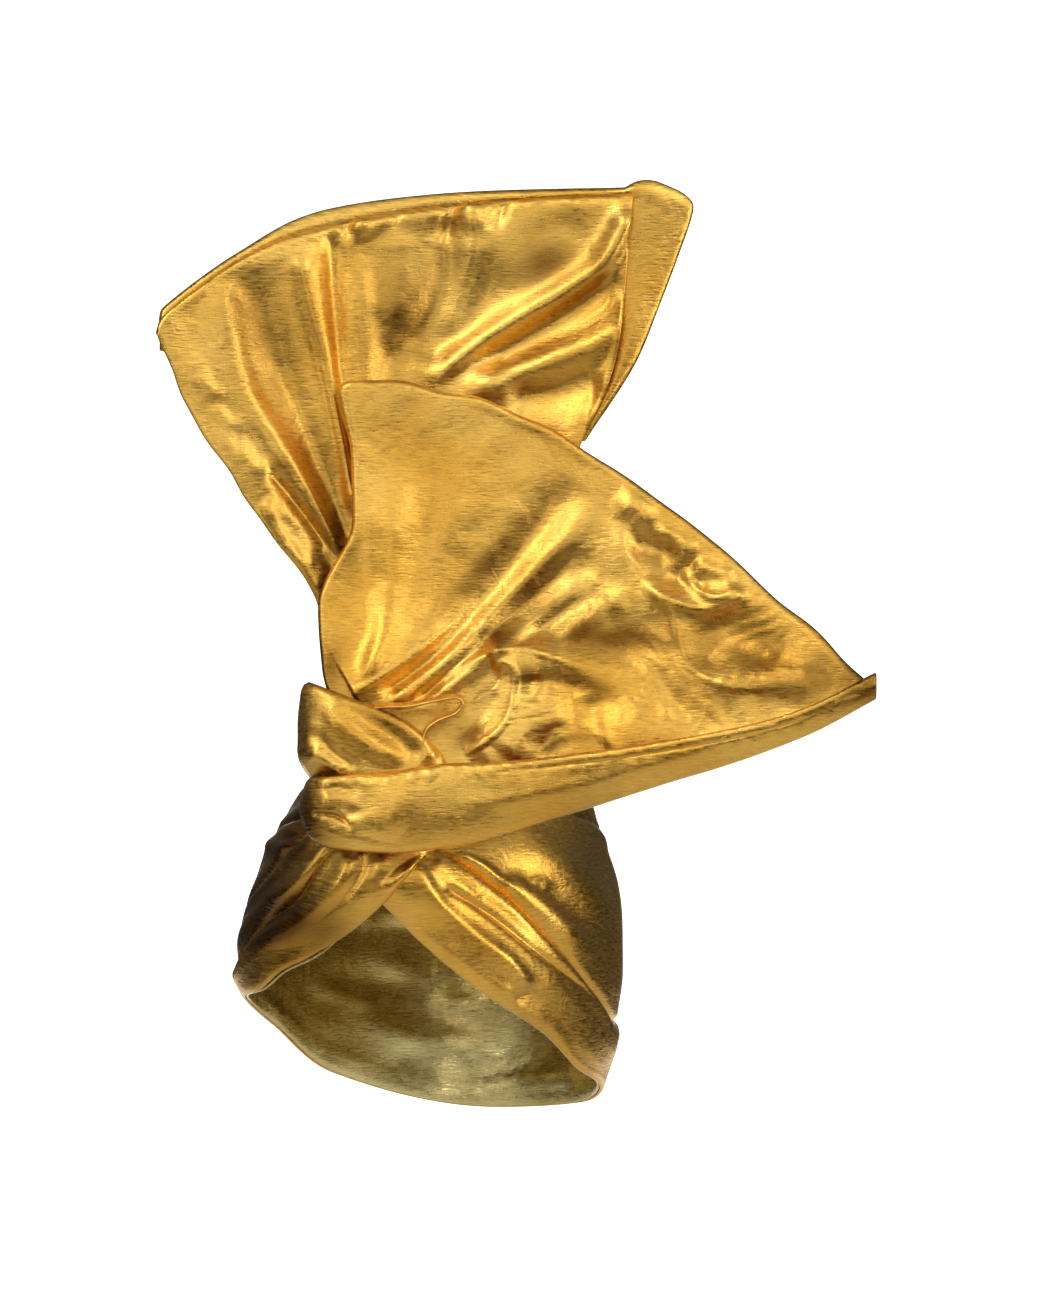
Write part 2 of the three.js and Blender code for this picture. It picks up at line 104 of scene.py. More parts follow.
def columns_of(table, place):
    """What gives a column of the table, by its number, at these places."""
    return lambda column: between_rows(table, column, place)


def waves(x, y, spacing, seed, count=14, stretch=1.0):
    """Soft uneven ground: a sum of plane waves of random direction, phase and length near spacing, with x
    stretched, divided so that its usual size is about 1."""
    rng = np.random.default_rng(seed)
    total = np.zeros(np.broadcast(x, y).shape)
    for _ in range(count):
        way = rng.uniform(0, 2 * np.pi)
        length = spacing * rng.uniform(0.6, 1.7)
        turn = 2 * np.pi * (np.cos(way) * x / stretch + np.sin(way) * y) / length
        total += np.sin(turn + rng.uniform(0, 2 * np.pi))
    return total / math.sqrt(count / 2)


def crumples(x, y, spacing, seed, stretch=1.0):
    """Sharp little creases: 1 - |w| of two bent wave fields w, the second narrower than the first."""
    bend_x = x + 0.35 * spacing * waves(x, y, 2.2 * spacing, seed + 5)
    bend_y = y + 0.35 * spacing * waves(x, y, 2.2 * spacing, seed + 6)
    total = 0
    for octave in range(2):
        field = waves(bend_x, bend_y, spacing / 1.8**octave, seed + octave, 7, stretch)
        total = total + (1 - np.abs(field)) / 1.8**octave
    return total


# Folds, drawn as lines over the picture


def picture(x, y):
    """A place read off the picture, in mm across to the right and up, seen square on."""
    return PICTURE_STEP * (x - PICTURE_MIDDLE), PICTURE_STEP * (PICTURE_NAPE - y)


def smooth_line(points, steps=7):
    """A curve through the points: Catmull-Rom pieces, each cut into steps."""
    p = np.array(points, float)
    p = np.concatenate([2 * p[:1] - p[1:2], p, 2 * p[-1:] - p[-2:-1]])
    t = (np.arange((len(p) - 3) * steps + 1) / steps)[:, None]
    k = np.minimum(t.astype(int)[:, 0], len(p) - 4)
    t = t - k[:, None]
    a, b, c, d = p[k], p[k + 1], p[k + 2], p[k + 3]
    return 0.5 * (2 * b + (c - a) * t + (2 * a - 5 * b + 4 * c - d) * t**2 + (3 * b - a - 3 * c + d) * t**3)


def beside_line(x, y, line):
    """For every point, its distance from a bent line, on which side it lies and how far along, from 0 to 1."""
    start = line[:-1]
    step = np.diff(line, axis=0)
    off = np.stack([x, y], -1)[..., None, :] - start
    t = np.clip((off * step).sum(-1) / (step**2).sum(-1), 0, 1)
    off = off - t[..., None] * step
    reach = (off**2).sum(-1)
    k = reach.argmin(-1)[..., None]
    nearest = np.take_along_axis(off, k[..., None], -2)[..., 0, :]
    way = step[k[..., 0]]
    side = np.sign(way[..., 0] * nearest[..., 1] - way[..., 1] * nearest[..., 0])
    along = (k[..., 0] + np.take_along_axis(t, k, -1)[..., 0]) / len(step)
    return np.sqrt(np.take_along_axis(reach, k, -1)[..., 0]), side, along


def folded(x, y, folds, fanned=0.0):
    """Height of the folds drawn over a piece. A fold is (height, width to its left, width to its right, how
    soon it fades at its start and end, its points), and its height is height * exp(-(distance/width)^2). Its
    widths start narrower by the share fanned."""
    total = np.zeros(x.shape)
    for height, left, right, start, end, points in folds:
        line = smooth_line([picture(*p) for p in points])
        distance, side, along = beside_line(x, y, line)
        width = np.where(side > 0, left, right) * (1 - fanned * (1 - along))
        fade = ease(along, 0, start) * ease(1 - along, 0, end)
        total += height * fade * np.exp(-((distance / width) ** 2))
    return total


# Cloth


def normals_of(surface, ring):
    """Unit normals of a grid of points: the cross product of its two central differences."""
    if ring:
        across = np.roll(surface, -1, 0) - np.roll(surface, 1, 0)
    else:
        across = np.gradient(surface, axis=0)
    along = np.gradient(surface, axis=1)
    n = np.cross(across, along)
    return n / np.maximum(np.linalg.norm(n, axis=-1, keepdims=True), 1e-9)


def rim_loop(index):
    """The grid's outer points, once round."""
    return np.concatenate([index[:-1, 0], index[-1, :-1], index[:0:-1, -1], index[0, :0:-1]])


def cloth(name, surface, weave, material, cut, held, on, nodes=(), slot="gold_cloth", ring=False, area=None):
    """A wall of cloth about a grid of points in mm: each point moved half the thickness along its normal to both
    sides, and both skins joined by a rounded rim that stands out by nearly half of it. weave is the cloth's own
    coordinates at each point, in mm, for its UV map. cut is the flat cloth's width and length in metres, held how
    it is held, and on what it lies on; these three are not used."""
    # Painted shade for each point, with painted light where it falls below its ground: it darkens the colour in
    # the material
    painted_shade = painted_shade_of(surface).ravel()
    painted_shades = [painted_shade, painted_shade]
    nu, nv = surface.shape[:2]
    count = nu * nv
    normal = normals_of(surface, ring)
    index = np.arange(count).reshape(nu, nv)
    points = [(surface + side * CLOTH * normal).reshape(-1, 3) for side in (0.5, -0.5)]
    i = np.arange(nu if ring else nu - 1)
    j = np.arange(nv - 1)
    i, j = (g.ravel() for g in np.meshgrid(i, j, indexing="ij"))
    k = (i + 1) % nu
    front = np.stack([index[i, j], index[k, j], index[k, j + 1], index[i, j + 1]], -1)
    corner = np.stack([np.stack([a, b], -1) for a, b in ((i, j), (i + 1, j), (i + 1, j + 1), (i, j + 1))], 1)
    quads = [front, front[:, ::-1] + count]
    places = [corner, corner[:, ::-1]]
    rims = [index[:, 0], index[::-1, -1]] if ring else [rim_loop(index)]
    inward = np.zeros_like(surface)
    inward[:, 0] += surface[:, 1] - surface[:, 0]
    inward[:, -1] += surface[:, -2] - surface[:, -1]
    if not ring:
        inward[0] += surface[1] - surface[0]
        inward[-1] += surface[-2] - surface[-1]
    inward = inward.reshape(-1, 3)
    total = 2 * count
    for rim in rims:
        length = np.maximum(np.linalg.norm(inward[rim], axis=1, keepdims=True), 1e-9)
        points.append(surface.reshape(-1, 3)[rim] - 0.45 * CLOTH * inward[rim] / length)
        painted_shades.append(painted_shade[rim])
        middle = total + np.arange(len(rim))
        total += len(rim)
        after = np.roll(rim, -1)
        middle_after = np.roll(middle, -1)
        quads.append(np.stack([after, rim, middle, middle_after], -1))
        quads.append(np.stack([middle_after, middle, rim + count, after + count], -1))
        grid_of = np.stack([rim // nv, rim % nv], -1)
        next_of = np.roll(grid_of, -1, 0)
        if ring:
            wrapped = next_of.copy()
            jumps = np.abs(next_of[:, 0] - grid_of[:, 0]) > 1
            wrapped[:, 0] = np.where(jumps, grid_of[:, 0] + 1, next_of[:, 0])
            next_of = np.minimum(wrapped, [nu, nv - 1])
        strip = np.stack([next_of, grid_of, grid_of, next_of], 1)
        places += [strip, strip]
    points = np.concatenate(points) * MM
    quads = np.concatenate(quads)
    places = np.concatenate(places).reshape(-1, 2)
    mesh = bpy.data.meshes.new(name)
    mesh.vertices.add(len(points))
    mesh.vertices.foreach_set("co", points.astype(np.float32).ravel())
    mesh.loops.add(quads.size)
    mesh.loops.foreach_set("vertex_index", quads.astype(np.int32).ravel())
    mesh.polygons.add(len(quads))
    mesh.polygons.foreach_set("loop_start", np.arange(0, quads.size, 4, dtype=np.int32))
    mesh.polygons.foreach_set("use_smooth", np.ones(len(quads), bool))
    mesh.update(calc_edges=True)
    mesh.validate()
    uv = mesh.uv_layers.new(name="weave")
    uv.data.foreach_set("uv", (weave[places[:, 0], places[:, 1]] * MM).astype(np.float32).ravel())
    # The painted shade goes on the mesh as a point attribute, one value a point
    shown = mesh.attributes.new("painted_shade", "FLOAT", "POINT")
    shown.data.foreach_set("value", np.concatenate(painted_shades).astype(np.float32))
    mesh.materials.append(material)
    piece = bpy.data.objects.new(name, mesh)
    bpy.context.scene.collection.objects.link(piece)
    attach(piece, "root")
    if nodes:
        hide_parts(*nodes)
    return piece


def grid(across, along):
    """Both values at every crossing of the two rows of values."""
    return np.meshgrid(across, along, indexing="ij")


# Band and plies round the head


def head_point(angle, height, outside):
    """A point on the band's inner face, moved outside: the head's ellipse at an angle from the front, drawn in
    above its widest level by sqrt(1 - closing * t^2), and leaning back and to the side with height."""
    turn = np.radians(angle)
    a = HEAD_WIDTH / 2
    b = HEAD_DEPTH / 2
    ellipse = a * b / np.hypot(b * np.sin(turn), a * np.cos(turn))
    rise = BAND_HEIGHT - WIDEST_LEVEL
    above = np.maximum(0, height - WIDEST_LEVEL) / rise
    closing = 1 - (CROWN_WIDTH / HEAD_WIDTH) ** 2
    narrowing = np.sqrt(np.maximum(0.1, 1 - closing * above**2))
    slope = ellipse * closing * above / (rise * narrowing)
    radius = ellipse * narrowing + outside * np.hypot(1, slope)
    lean = height - WIDEST_LEVEL
    x = LEAN_LEFT * lean + radius * np.sin(turn)
    y = LEAN_BACK * lean - radius * np.cos(turn)
    return np.stack([x, y, height + 0 * x], -1)


# Edges of the plies as shares of the band's height: way round, rim, lapel, second, third, crown
FIRST_ANGLE = 18
WHOLE_WAY = 376
CROSSING_WAY = 12
CROWDING = 26  # how far the grid's columns are moved towards the knot, in degrees
MM_PER_DEGREE = 1.55
LIFT_OF_A_PLY = SOLID_WALL + SLIP + SLACK
PLY_EDGES = [
    (0, 0.73, 0.81, 0.86, 0.91, 0.97),
    (12, 0.59, 0.79, 0.84, 0.9, 0.97),
    (20, 0.51, 0.71, 0.79, 0.85, 0.97),
    (28, 0.44, 0.62, 0.745, 0.81, 0.97),
    (38, 0.4, 0.55, 0.69, 0.78, 0.96),
    (50, 0.345, 0.49, 0.635, 0.775, 0.94),
    (68, 0.33, 0.41, 0.58, 0.76, 0.9),
    (88, 0.31, 0.395, 0.5, 0.71, 0.85),
    (118, 0.24, 0.37, 0.51, 0.68, 0.83),
    (150, 0.1, 0.33, 0.55, 0.72, 0.88),
    (198, 0, 0.29, 0.63, 0.81, 0.97),
    (232, 0.02, 0.27, 0.72, 0.87, 1),
    (268, 0.08, 0.25, 0.79, 0.9, 1),
    (293, 0.12, 0.33, 0.82, 0.905, 1),
    (318, 0.23, 0.46, 0.84, 0.91, 0.99),
    (338, 0.32, 0.6, 0.85, 0.91, 0.98),
    (358, 0.46, 0.715, 0.84, 0.9, 0.97),
    (376, 0.66, 0.79, 0.84, 0.9, 0.97),
]
RIM, LAPEL, SECOND, THIRD, CROWN = range(1, 6)


def ply_edge(column, way):
    """Height of a ply's edge at a way round, in mm."""
    return BAND_HEIGHT * between_rows(PLY_EDGES, column, way)


def bed_point(way, height):
    """The plies' bed: the head, raised towards the knot by a bell in angle times a hump in height."""
    angle = FIRST_ANGLE - way
    off = np.where(way < WHOLE_WAY / 2, angle - 4, angle + 356)
    share = height / BAND_HEIGHT
    rise = ease(share, 0.45, 0.7) - ease(share, 0.72, 0.92)
    return head_point(angle, height, (KNOT_STAND - 9 * SOLID_WALL) * np.exp(-((off / 24) ** 2)) * rise)


def off_bed(way, height, layer):
    """A point off the bed along its normal, from central differences. The plies' first end is raised more."""
    step = 0.05
    over = 2 * LIFT_OF_A_PLY * (1 - ease(way, 20, 90))
    round_ = bed_point(way + step, height) - bed_point(way - step, height)
    upward = bed_point(way, height + step) - bed_point(way, height - step)
    n = np.cross(upward, round_)
    n /= np.linalg.norm(n, axis=-1, keepdims=True)
    return bed_point(way, height) + n * (layer + over)[..., None]


def square_on(points):
    """Places in the picture: mm across to the right, up, and towards the viewer."""
    x, y, z = points[..., 0], points[..., 1], points[..., 2]
    c, s = math.cos(FRONT_TURN), math.sin(FRONT_TURN)
    return x * c + y * s, z, x * s - y * c


# Painted shade: spots where the cloth's colour is darkened to stand in for shade in folds, hollows and gaps (or,
# below 0, lightened as painted light): share, x, y, half width, half height, turn
PAINTED_SHADE_DEPTH = 1.35
PAINTED_SHADE_SPOTS = [
    (0.5, 258, 330, 22, 60, 24), (0.45, 400, 320, 34, 60, 0), (0.6, 545, 262, 34, 26, 20),
    (0.3, 450, 270, 40, 40, 0), (0.4, 335, 530, 20, 50, 24), (0.5, 330, 668, 16, 26, 0),
    (0.55, 500, 642, 16, 14, 0), (0.65, 615, 640, 55, 17, 0), (0.4, 545, 605, 30, 16, 40),
    (0.45, 770, 668, 120, 36, -14), (0.35, 862, 686, 40, 20, -14), (0.4, 660, 562, 20, 14, 0),
    (0.7, 262, 905, 52, 60, 20),
    (0.4, 330, 930, 30, 20, 30), (0.6, 306, 815, 32, 34, 0), (0.3, 380, 722, 40, 14, -30),
    (-0.3, 385, 580, 24, 90, 0), (-0.3, 480, 930, 60, 50, -40), (-0.3, 384, 850, 24, 30, 0),
    (0.35, 590, 870, 34, 80, 0), (0.3, 540, 1000, 50, 30, -40),
    (0.55, 485, 567, 65, 11, 46), (0.5, 530, 588, 75, 11, 48), (0.4, 582, 628, 34, 10, 45),
    (0.6, 527, 676, 14, 12, 0), (0.5, 596, 688, 28, 9, -25), (0.4, 470, 735, 26, 12, 40),
    (0.45, 560, 745, 40, 9, 20), (0.5, 284, 850, 34, 12, 0), (0.5, 270, 930, 40, 12, 20),
]


def painted_shade_of(surface):
    """How much painted shade darkens the cloth, 0 to 1: a ground of 0.08 and spots drawn over the picture, each
    the share times the painted shade depth times exp(-a^2 - b^2) along its own turned axes. Spots below 0 lighten
    it as painted light."""
    across, up, _ = square_on(surface)
    total = np.full_like(across, 0.08)
    for share, x, y, wide, high, turn in PAINTED_SHADE_SPOTS:
        middle_x, middle_z = picture(x, y)
        c, s = math.cos(math.radians(turn)), math.sin(math.radians(turn))
        a = ((across - middle_x) * c + (up - middle_z) * s) / (PICTURE_STEP * wide)
        b = ((up - middle_z) * c - (across - middle_x) * s) / (PICTURE_STEP * high)
        total = total + PAINTED_SHADE_DEPTH * share * np.exp(-a * a - b * b)
    return np.clip(total, 0, 1)


# Folds over the plies: height, width left, width right, fade at start, fade at end, points in the picture
LAPEL_FOLDS = [
    (4.0, 4.6, 15.0, 0.05, 0.12, [(408, 860), (437, 905), (475, 940), (508, 966), (526, 994)]),
    (0.8, 4.0, 6.0, 0.2, 0.3, [(430, 935), (480, 978), (540, 1022), (575, 1055)]),
    (0.9, 3.4, 3.4, 0.1, 0.3, [(432, 862), (455, 880), (486, 905)]),
    (-1.8, 1.6, 1.6, 0.05, 0.2, [(443, 885), (493, 917), (530, 947), (577, 983), (618, 1020)]),
    (1.8, 5.0, 5.0, 0.1, 0.3, [(352, 850), (344, 878), (318, 908), (280, 936), (248, 962)]),
    (1.6, 4.0, 5.0, 0.2, 0.4, [(384, 852), (376, 876), (352, 904), (318, 930)]),
    (-1.4, 2.0, 2.0, 0.1, 0.3, [(368, 852), (358, 880), (332, 908), (296, 934)]),
]
SECOND_FOLDS = [
    (3.8, 5.0, 6.5, 0.15, 0.4, [(498, 876), (535, 900), (572, 934), (596, 970)]),
    (-2.4, 7.0, 7.0, 0.3, 0.3, [(470, 858), (520, 880), (560, 905), (600, 950)]),
    (2.4, 9.0, 9.0, 0.3, 0.3, [(510, 836), (552, 862), (590, 900), (612, 940)]),
    (2.2, 2.4, 4.0, 0.2, 0.3, [(446, 854), (478, 866), (500, 880), (510, 900)]),
    (-1.8, 2.5, 2.5, 0.3, 0.3, [(462, 862), (480, 880), (500, 892)]),
    (1.4, 3.0, 3.0, 0.2, 0.3, [(528, 880), (542, 884), (546, 896)]),
    (1.8, 3.0, 4.0, 0.2, 0.3, [(334, 848), (316, 872), (286, 892), (252, 908)]),
    (-1.6, 2.0, 2.5, 0.2, 0.2, [(342, 862), (320, 888), (290, 908), (255, 928)]),
]
UPPER_FOLDS = [
    (1.6, 3.0, 3.0, 0.2, 0.3, [(322, 840), (300, 848), (272, 846), (256, 848)]),
    (1.4, 3.0, 3.0, 0.2, 0.3, [(308, 805), (290, 822), (272, 832)]),
    (-1.4, 1.6, 2.0, 0.2, 0.3, [(312, 820), (296, 836), (268, 842)]),
]
INSIDE_FOLDS = [
    (2.2, 4, 6, 0.2, 0.2, [(257, 1000), (280, 1040), (312, 1072), (345, 1090)]),
    (1.8, 4, 7, 0.3, 0.3, [(340, 1015), (390, 1035), (445, 1044), (490, 1030)]),
    (1.6, 3, 5, 0.3, 0.3, [(425, 1000), (465, 1012), (520, 1004)]),
    (1.6, 4, 4, 0.3, 0.3, [(450, 1054), (500, 1070), (540, 1060)]),
    (2.2, 3, 6, 0.2, 0.2, [(468, 1103), (505, 1088), (545, 1082), (585, 1082)]),
    (1.6, 5, 6, 0.3, 0.3, [(360, 960), (415, 978), (470, 968)]),
    (1.8, 4, 4, 0.3, 0.3, [(340, 935), (378, 916), (430, 922), (466, 948)]),
    (1.4, 3, 5, 0.3, 0.3, [(300, 985), (340, 1000), (380, 1010)]),
]


def tuck_of(width):
    """How much of a ply's width turns in at its upper edge, in mm."""
    return np.minimum(7, 0.3 * width)


def ply(below, lower, upper, folds, seed, count):
    """One ply: it starts under the ply below, fills out by a quarter sine just above that ply's edge, lies over
    the next ply's margin and turns in round its upper edge over a low bead. Along it run shallow pleats, sines
    across the height whose phase wanders, and the folds drawn over the picture."""
    share = np.linspace(0, 1, 320)
    way = WHOLE_WAY * share - CROWDING * np.sin(2 * np.pi * share)
    v = np.linspace(0, 1, count)
    way, v = grid(way, v)
    low = ply_edge(lower, way)
    high = ply_edge(upper, way)
    margin = 0.8 * tuck_of(low - ply_edge(below, way)) if below is not None else 0
    tuck = tuck_of(high - low)
    height = mix(low - margin, high, v)
    top = upper == CROWN
    covering = 0 if top else ease(height, high - 2.3 * tuck, high - tuck)
    t = np.clip((height - low) / (high - low), 0, 1)
    ends = ease(way, 0, 30) * (1 - ease(way, WHOLE_WAY - 30, WHOLE_WAY))
    puff = np.minimum(3, 0.12 * (high - low)) * np.sin(np.pi * t) ** 2 * ends
    fullness = 3.3 * np.sin(0.5 * np.pi * np.clip((height - low) / 4.5, 0, 1))
    if below is None:
        fullness = 3.3 * ease(t, 0, 0.6)
    layer = 1.5 * SOLID_WALL + SLIP + 0.3 * SLACK
    layer = layer + np.maximum(covering * LIFT_OF_A_PLY, fullness) + 0.4 * puff
    wander = 0.9 * waves(way, 0 * way, 90, seed + 1)
    pleats = np.sin(2 * np.pi * (1.6 * t + 0.25 * wander))
    middle = ease(t, 0.02, 0.25) * (1 - ease(t, 0.75, 0.95))
    layer = layer + 0.45 * pleats * middle * np.minimum(1, (high - low) / 25)
    layer = layer + 0.4 * waves(way, height, 40, seed + 3, stretch=2.4) * middle
    if not top:
        layer = layer + 0.9 * np.exp(-(((high - height - 4) / 3.2) ** 2))
        drop = np.clip(1 - (high - height) / 2.4, 0, 1)
        layer = layer - 2.4 * (1 - np.sqrt(1 - drop**2))
    if below is None:
        drop = np.clip(1 - (height - low) / 3, 0, 1)
        layer = layer - 1.25 * (1 - np.sqrt(1 - drop**2))
    surface = off_bed(way, height, layer)
    x, z, toward = square_on(surface)
    drawn = folded(x, z, folds) * ease(toward, 5, 35) * ease(t, 0.0, 0.12) * (1 - ease(t, 0.9, 1))
    surface = off_bed(way, height, layer + np.clip(drawn, -1.6, 4))
    weave = np.stack([MM_PER_DEGREE * way, height], -1)
    return surface, weave


def band():
    """The band's inner layer, a ring on the head's form with broad shallow dents: a sum of plane waves over the
    way round and the height, and a low rolled ridge just above the rim, which flares out to the raised ply."""
    share = np.arange(240) / 240
    way = CROSSING_WAY + 360 * share - CROWDING * np.sin(2 * np.pi * share)
    way, v = grid(way, np.linspace(0, 1, 44))
    low = ply_edge(RIM, way) + 0.3
    high = ply_edge(CROWN, way) - 2
    height = mix(low, high, v)
    dents = 0.9 * waves(np.cos(np.radians(way)) * 90, np.sin(np.radians(way)) * 90 + height, 60, 71)
    dents = dents + 0.5 * waves(way, height, 30, 72, stretch=2.6)
    ridge = -1.0 * np.exp(-(((height - low - 6) / 3.2) ** 2))
    fade = ease(v, 0.0, 0.08) * (1 - ease(v, 0.9, 1))
    x, z, toward = square_on(head_point(FIRST_ANGLE - way, height, 0))
    drawn = -1.5 * folded(x, z, INSIDE_FOLDS) * ease(-toward, 0, 30)
    dents = np.clip(dents + drawn, -4.5, 0.3)
    over = 2 * LIFT_OF_A_PLY * (1 - ease(way, 20, 90)) * ease(way, 12, 16)
    flare = 0.9 * over * (1 - ease(height - low, 1, 14))
    surface = head_point(FIRST_ANGLE - way, height, SOLID_WALL / 2 + fade * (dents + ridge) + flare)
    weave = np.stack([MM_PER_DEGREE * way, height], -1)
    weave = np.concatenate([weave, weave[:1] + [MM_PER_DEGREE * 360, 0]])
    return surface, weave


# Knot and the cloth's two ends, placed from the knot's middle: across, up and forward


def tied_point(across, up, forward):
    """A point of the knot or the ends, turned with them and moved to the knot's place on the band."""
    place = head_point(np.array(KNOT_ANGLE, float), np.array(KNOT_LEVEL, float), KNOT_STAND)
    c, s = math.cos(FRONT_TURN), math.sin(FRONT_TURN)
    return np.stack([c * across + s * forward, s * across - c * forward, up + 0 * across], -1) + place


def knot_in_picture():
    """The knot's place in the picture, in mm across and up."""
    place = head_point(np.array(KNOT_ANGLE, float), np.array(KNOT_LEVEL, float), KNOT_STAND)
    x, z, _ = square_on(place)
    return float(x), float(z)


KNOT_X, KNOT_Z = knot_in_picture()


def hump(u, peak):
    """0 at both ends and 1 at its peak, a quarter sine up and a quarter cosine down."""
    return np.where(u < peak, np.sin(np.pi * u / (2 * peak)), np.cos(np.pi * (u - peak) / (2 * (1 - peak))))


def corner_draw(distance, radius):
    """How far a rounded corner draws an edge in: radius - sqrt(radius^2 - (radius - distance)^2)."""
    short = np.maximum(0, radius - distance)
    return radius - np.sqrt(np.maximum(0, radius**2 - short**2))


# Rear end: way up, left, left up, right, right up, arch, stand, cup
REAR_WIDTH, REAR_RISE, REAR_CUP, REAR_LEAN = 220, 273, 14, 14
REAR_SECTIONS = [
    (0, -0.075, 0.075, 0.08, 0.075, 0, -0.36, 0),
    (0.12, -0.11, 0.19, 0.155, 0.19, 0, -0.29, 0),
    (0.25, -0.123, 0.286, 0.245, 0.286, 0.02, -0.2, 0.25),
    (0.42, -0.24, 0.43, 0.34, 0.43, 0.04, -0.1, 0.6),
    (0.6, -0.34, 0.55, 0.425, 0.57, 0.06, -0.03, 0.9),
    (0.8, -0.423, 0.667, 0.497, 0.715, 0.08, 0, 1),
    (1, -0.459, 0.77, 0.532, 0.985, 0.083, 0.03, 1),
]
REAR_FANS = [
    (1.4, 9, 10, 0.15, 0.15, [(328, 592), (300, 525), (258, 458), (216, 396), (186, 338)]),
    (-1.8, 9, 8, 0.1, 0.2, [(338, 578), (312, 522), (275, 472), (240, 428), (204, 388)]),
    (3.6, 12, 6, 0.1, 0.1, [(345, 572), (318, 510), (284, 450), (250, 395), (232, 340), (222, 276)]),
    (-4.4, 12, 12, 0.1, 0.2, [(352, 560), (325, 480), (292, 400), (268, 330), (254, 258)]),
    (3.8, 6, 8, 0.1, 0.1, [(356, 520), (346, 450), (330, 370), (314, 310), (300, 244)]),
    (-3.4, 4.5, 5, 0.1, 0.1, [(358, 500), (350, 440), (340, 380), (334, 300), (330, 216)]),
    (3.0, 8, 8, 0.1, 0.3, [(362, 440), (366, 380), (362, 310), (356, 240)]),
]
REAR_FOLDS = [
    (-2.6, 2.6, 3.0, 0.1, 0.1, [(347, 566), (320, 535), (296, 505), (268, 470)]),
    (1.3, 3.0, 3.0, 0.1, 0.2, [(322, 596), (300, 565), (276, 525), (262, 495)]),
    (0.8, 3.6, 3.6, 0.2, 0.2, [(196, 372), (212, 392), (228, 394)]),
    (0.8, 3.6, 3.6, 0.2, 0.2, [(214, 404), (230, 424), (248, 424)]),
    (0.9, 3.6, 3.6, 0.2, 0.2, [(240, 446), (254, 466), (270, 466)]),
    (0.9, 3.6, 3.6, 0.2, 0.2, [(268, 496), (280, 514), (296, 516)]),
    (0.9, 3.6, 3.6, 0.2, 0.2, [(286, 540), (300, 560), (316, 562)]),
    (-3.6, 9, 7, 0.1, 0.3, [(446, 210), (440, 290), (405, 345), (368, 378)]),
    (2.4, 9, 9, 0.2, 0.3, [(395, 225), (398, 280), (385, 330)]),
    (2.4, 8, 8, 0.2, 0.3, [(478, 225), (468, 290), (440, 345)]),
    (6.0, 6, 4.5, 0.15, 0.1, [(423, 385), (483, 340), (583, 281), (612, 250), (632, 205)]),
    (-3.6, 14, 12, 0.2, 0.3, [(420, 370), (462, 320), (515, 250)]),
    (-4.2, 8, 8, 0.2, 0.2, [(465, 375), (560, 322), (624, 272)]),
    (5.0, 6, 8, 0.15, 0.1, [(458, 392), (533, 366), (607, 336), (640, 300)]),
    (-4.0, 10, 10, 0.2, 0.2, [(500, 398), (560, 392), (606, 378)]),
    (2.4, 3, 3, 0.1, 0.1, [(634, 203), (645, 258), (628, 320), (606, 385), (590, 432)]),
    (-0.9, 7, 6, 0.3, 0.3, [(536, 252), (545, 232), (562, 226), (577, 238), (575, 262)]),
    (-3.6, 3.2, 3.2, 0.02, 0.6, [(343, 206), (346, 228), (350, 244)]),
    (-3.6, 4, 4, 0.02, 0.6, [(453, 202), (448, 224), (440, 244)]),
    (-3.0, 3.4, 3.4, 0.02, 0.6, [(504, 198), (498, 216), (488, 232)]),
    (-1.6, 2, 2, 0.05, 0.6, [(398, 210), (396, 220), (392, 234)]),
    (2.6, 5, 5, 0.02, 0.6, [(362, 206), (362, 228), (366, 242)]),
    (2.6, 5, 5, 0.02, 0.6, [(470, 202), (474, 222), (470, 240)]),
]


def rear_plain(u, v):
    """The rear end without folds: straight between its side edges, arched up by a hump and hollowed by
    cup * sin(pi u), leaning back to the right."""
    at = columns_of(REAR_SECTIONS, v)
    across = REAR_WIDTH * mix(at(1), at(3), u)
    corner = corner_draw(u * REAR_WIDTH, 6) * ease(v, 0.8, 1)
    up = REAR_RISE * (mix(at(2), at(4), u) + at(5) * hump(u, 0.3)) - corner
    forward = KNOT[1] * at(6) - REAR_LEAN * u * v - REAR_CUP * at(7) * np.sin(np.pi * u)
    return across, up, forward


def edge_fade(u, v, reach=0.04):
    """1 over a piece, and 0 along its two sides and its far end."""
    return ease(u, 0, reach) * ease(1 - u, 0, reach) * ease(1 - v, 0, reach)


def rear_tail():
    """The rear end: its plain form, the folds drawn over the picture and uneven ground that grows towards the
    knot, all added forward, and its top edge rolled back by a quarter circle."""
    u, v = grid(np.linspace(0, 1, 205), np.linspace(0, 1, 185))
    across, up, forward = rear_plain(u, v)
    across = across + 0.4 * waves(0 * across, up, 36, 5) * (1 - ease(u, 0, 0.08)) * ease(v, 0.2, 0.4)
    x, z = across + KNOT_X, up + KNOT_Z
    body = ease(v, 0.12, 0.35)
    soft = 0.7 * waves(across, up, 75, 3) + 0.12 * waves(across, up, 22, 4)
    left = 1 - ease(u, 0.0, 0.4)
    crumple = 0.25 * crumples(across, up, 46, 8) * left * ease(v, 0.25, 0.5)
    gathers = 1.6 * np.sin(2 * np.pi * 5.5 * u + 0.6) * (1 - ease(v, 0.2, 0.5))
    drawn = folded(x, z, REAR_FOLDS) + folded(x, z, REAR_FANS, 0.6)
    lift = drawn * body * ease(u, 0, 0.02) + (soft + crumple) * body * edge_fade(u, v) + gathers * edge_fade(u, v)
    roll = np.clip(1 - (1 - v) * REAR_RISE * 0.9 / 3.0, 0, 1)
    forward = forward + lift - 2.6 * (1 - np.sqrt(1 - roll**2))
    surface = tied_point(across, up, forward)
    return surface, np.stack([across, up], -1)


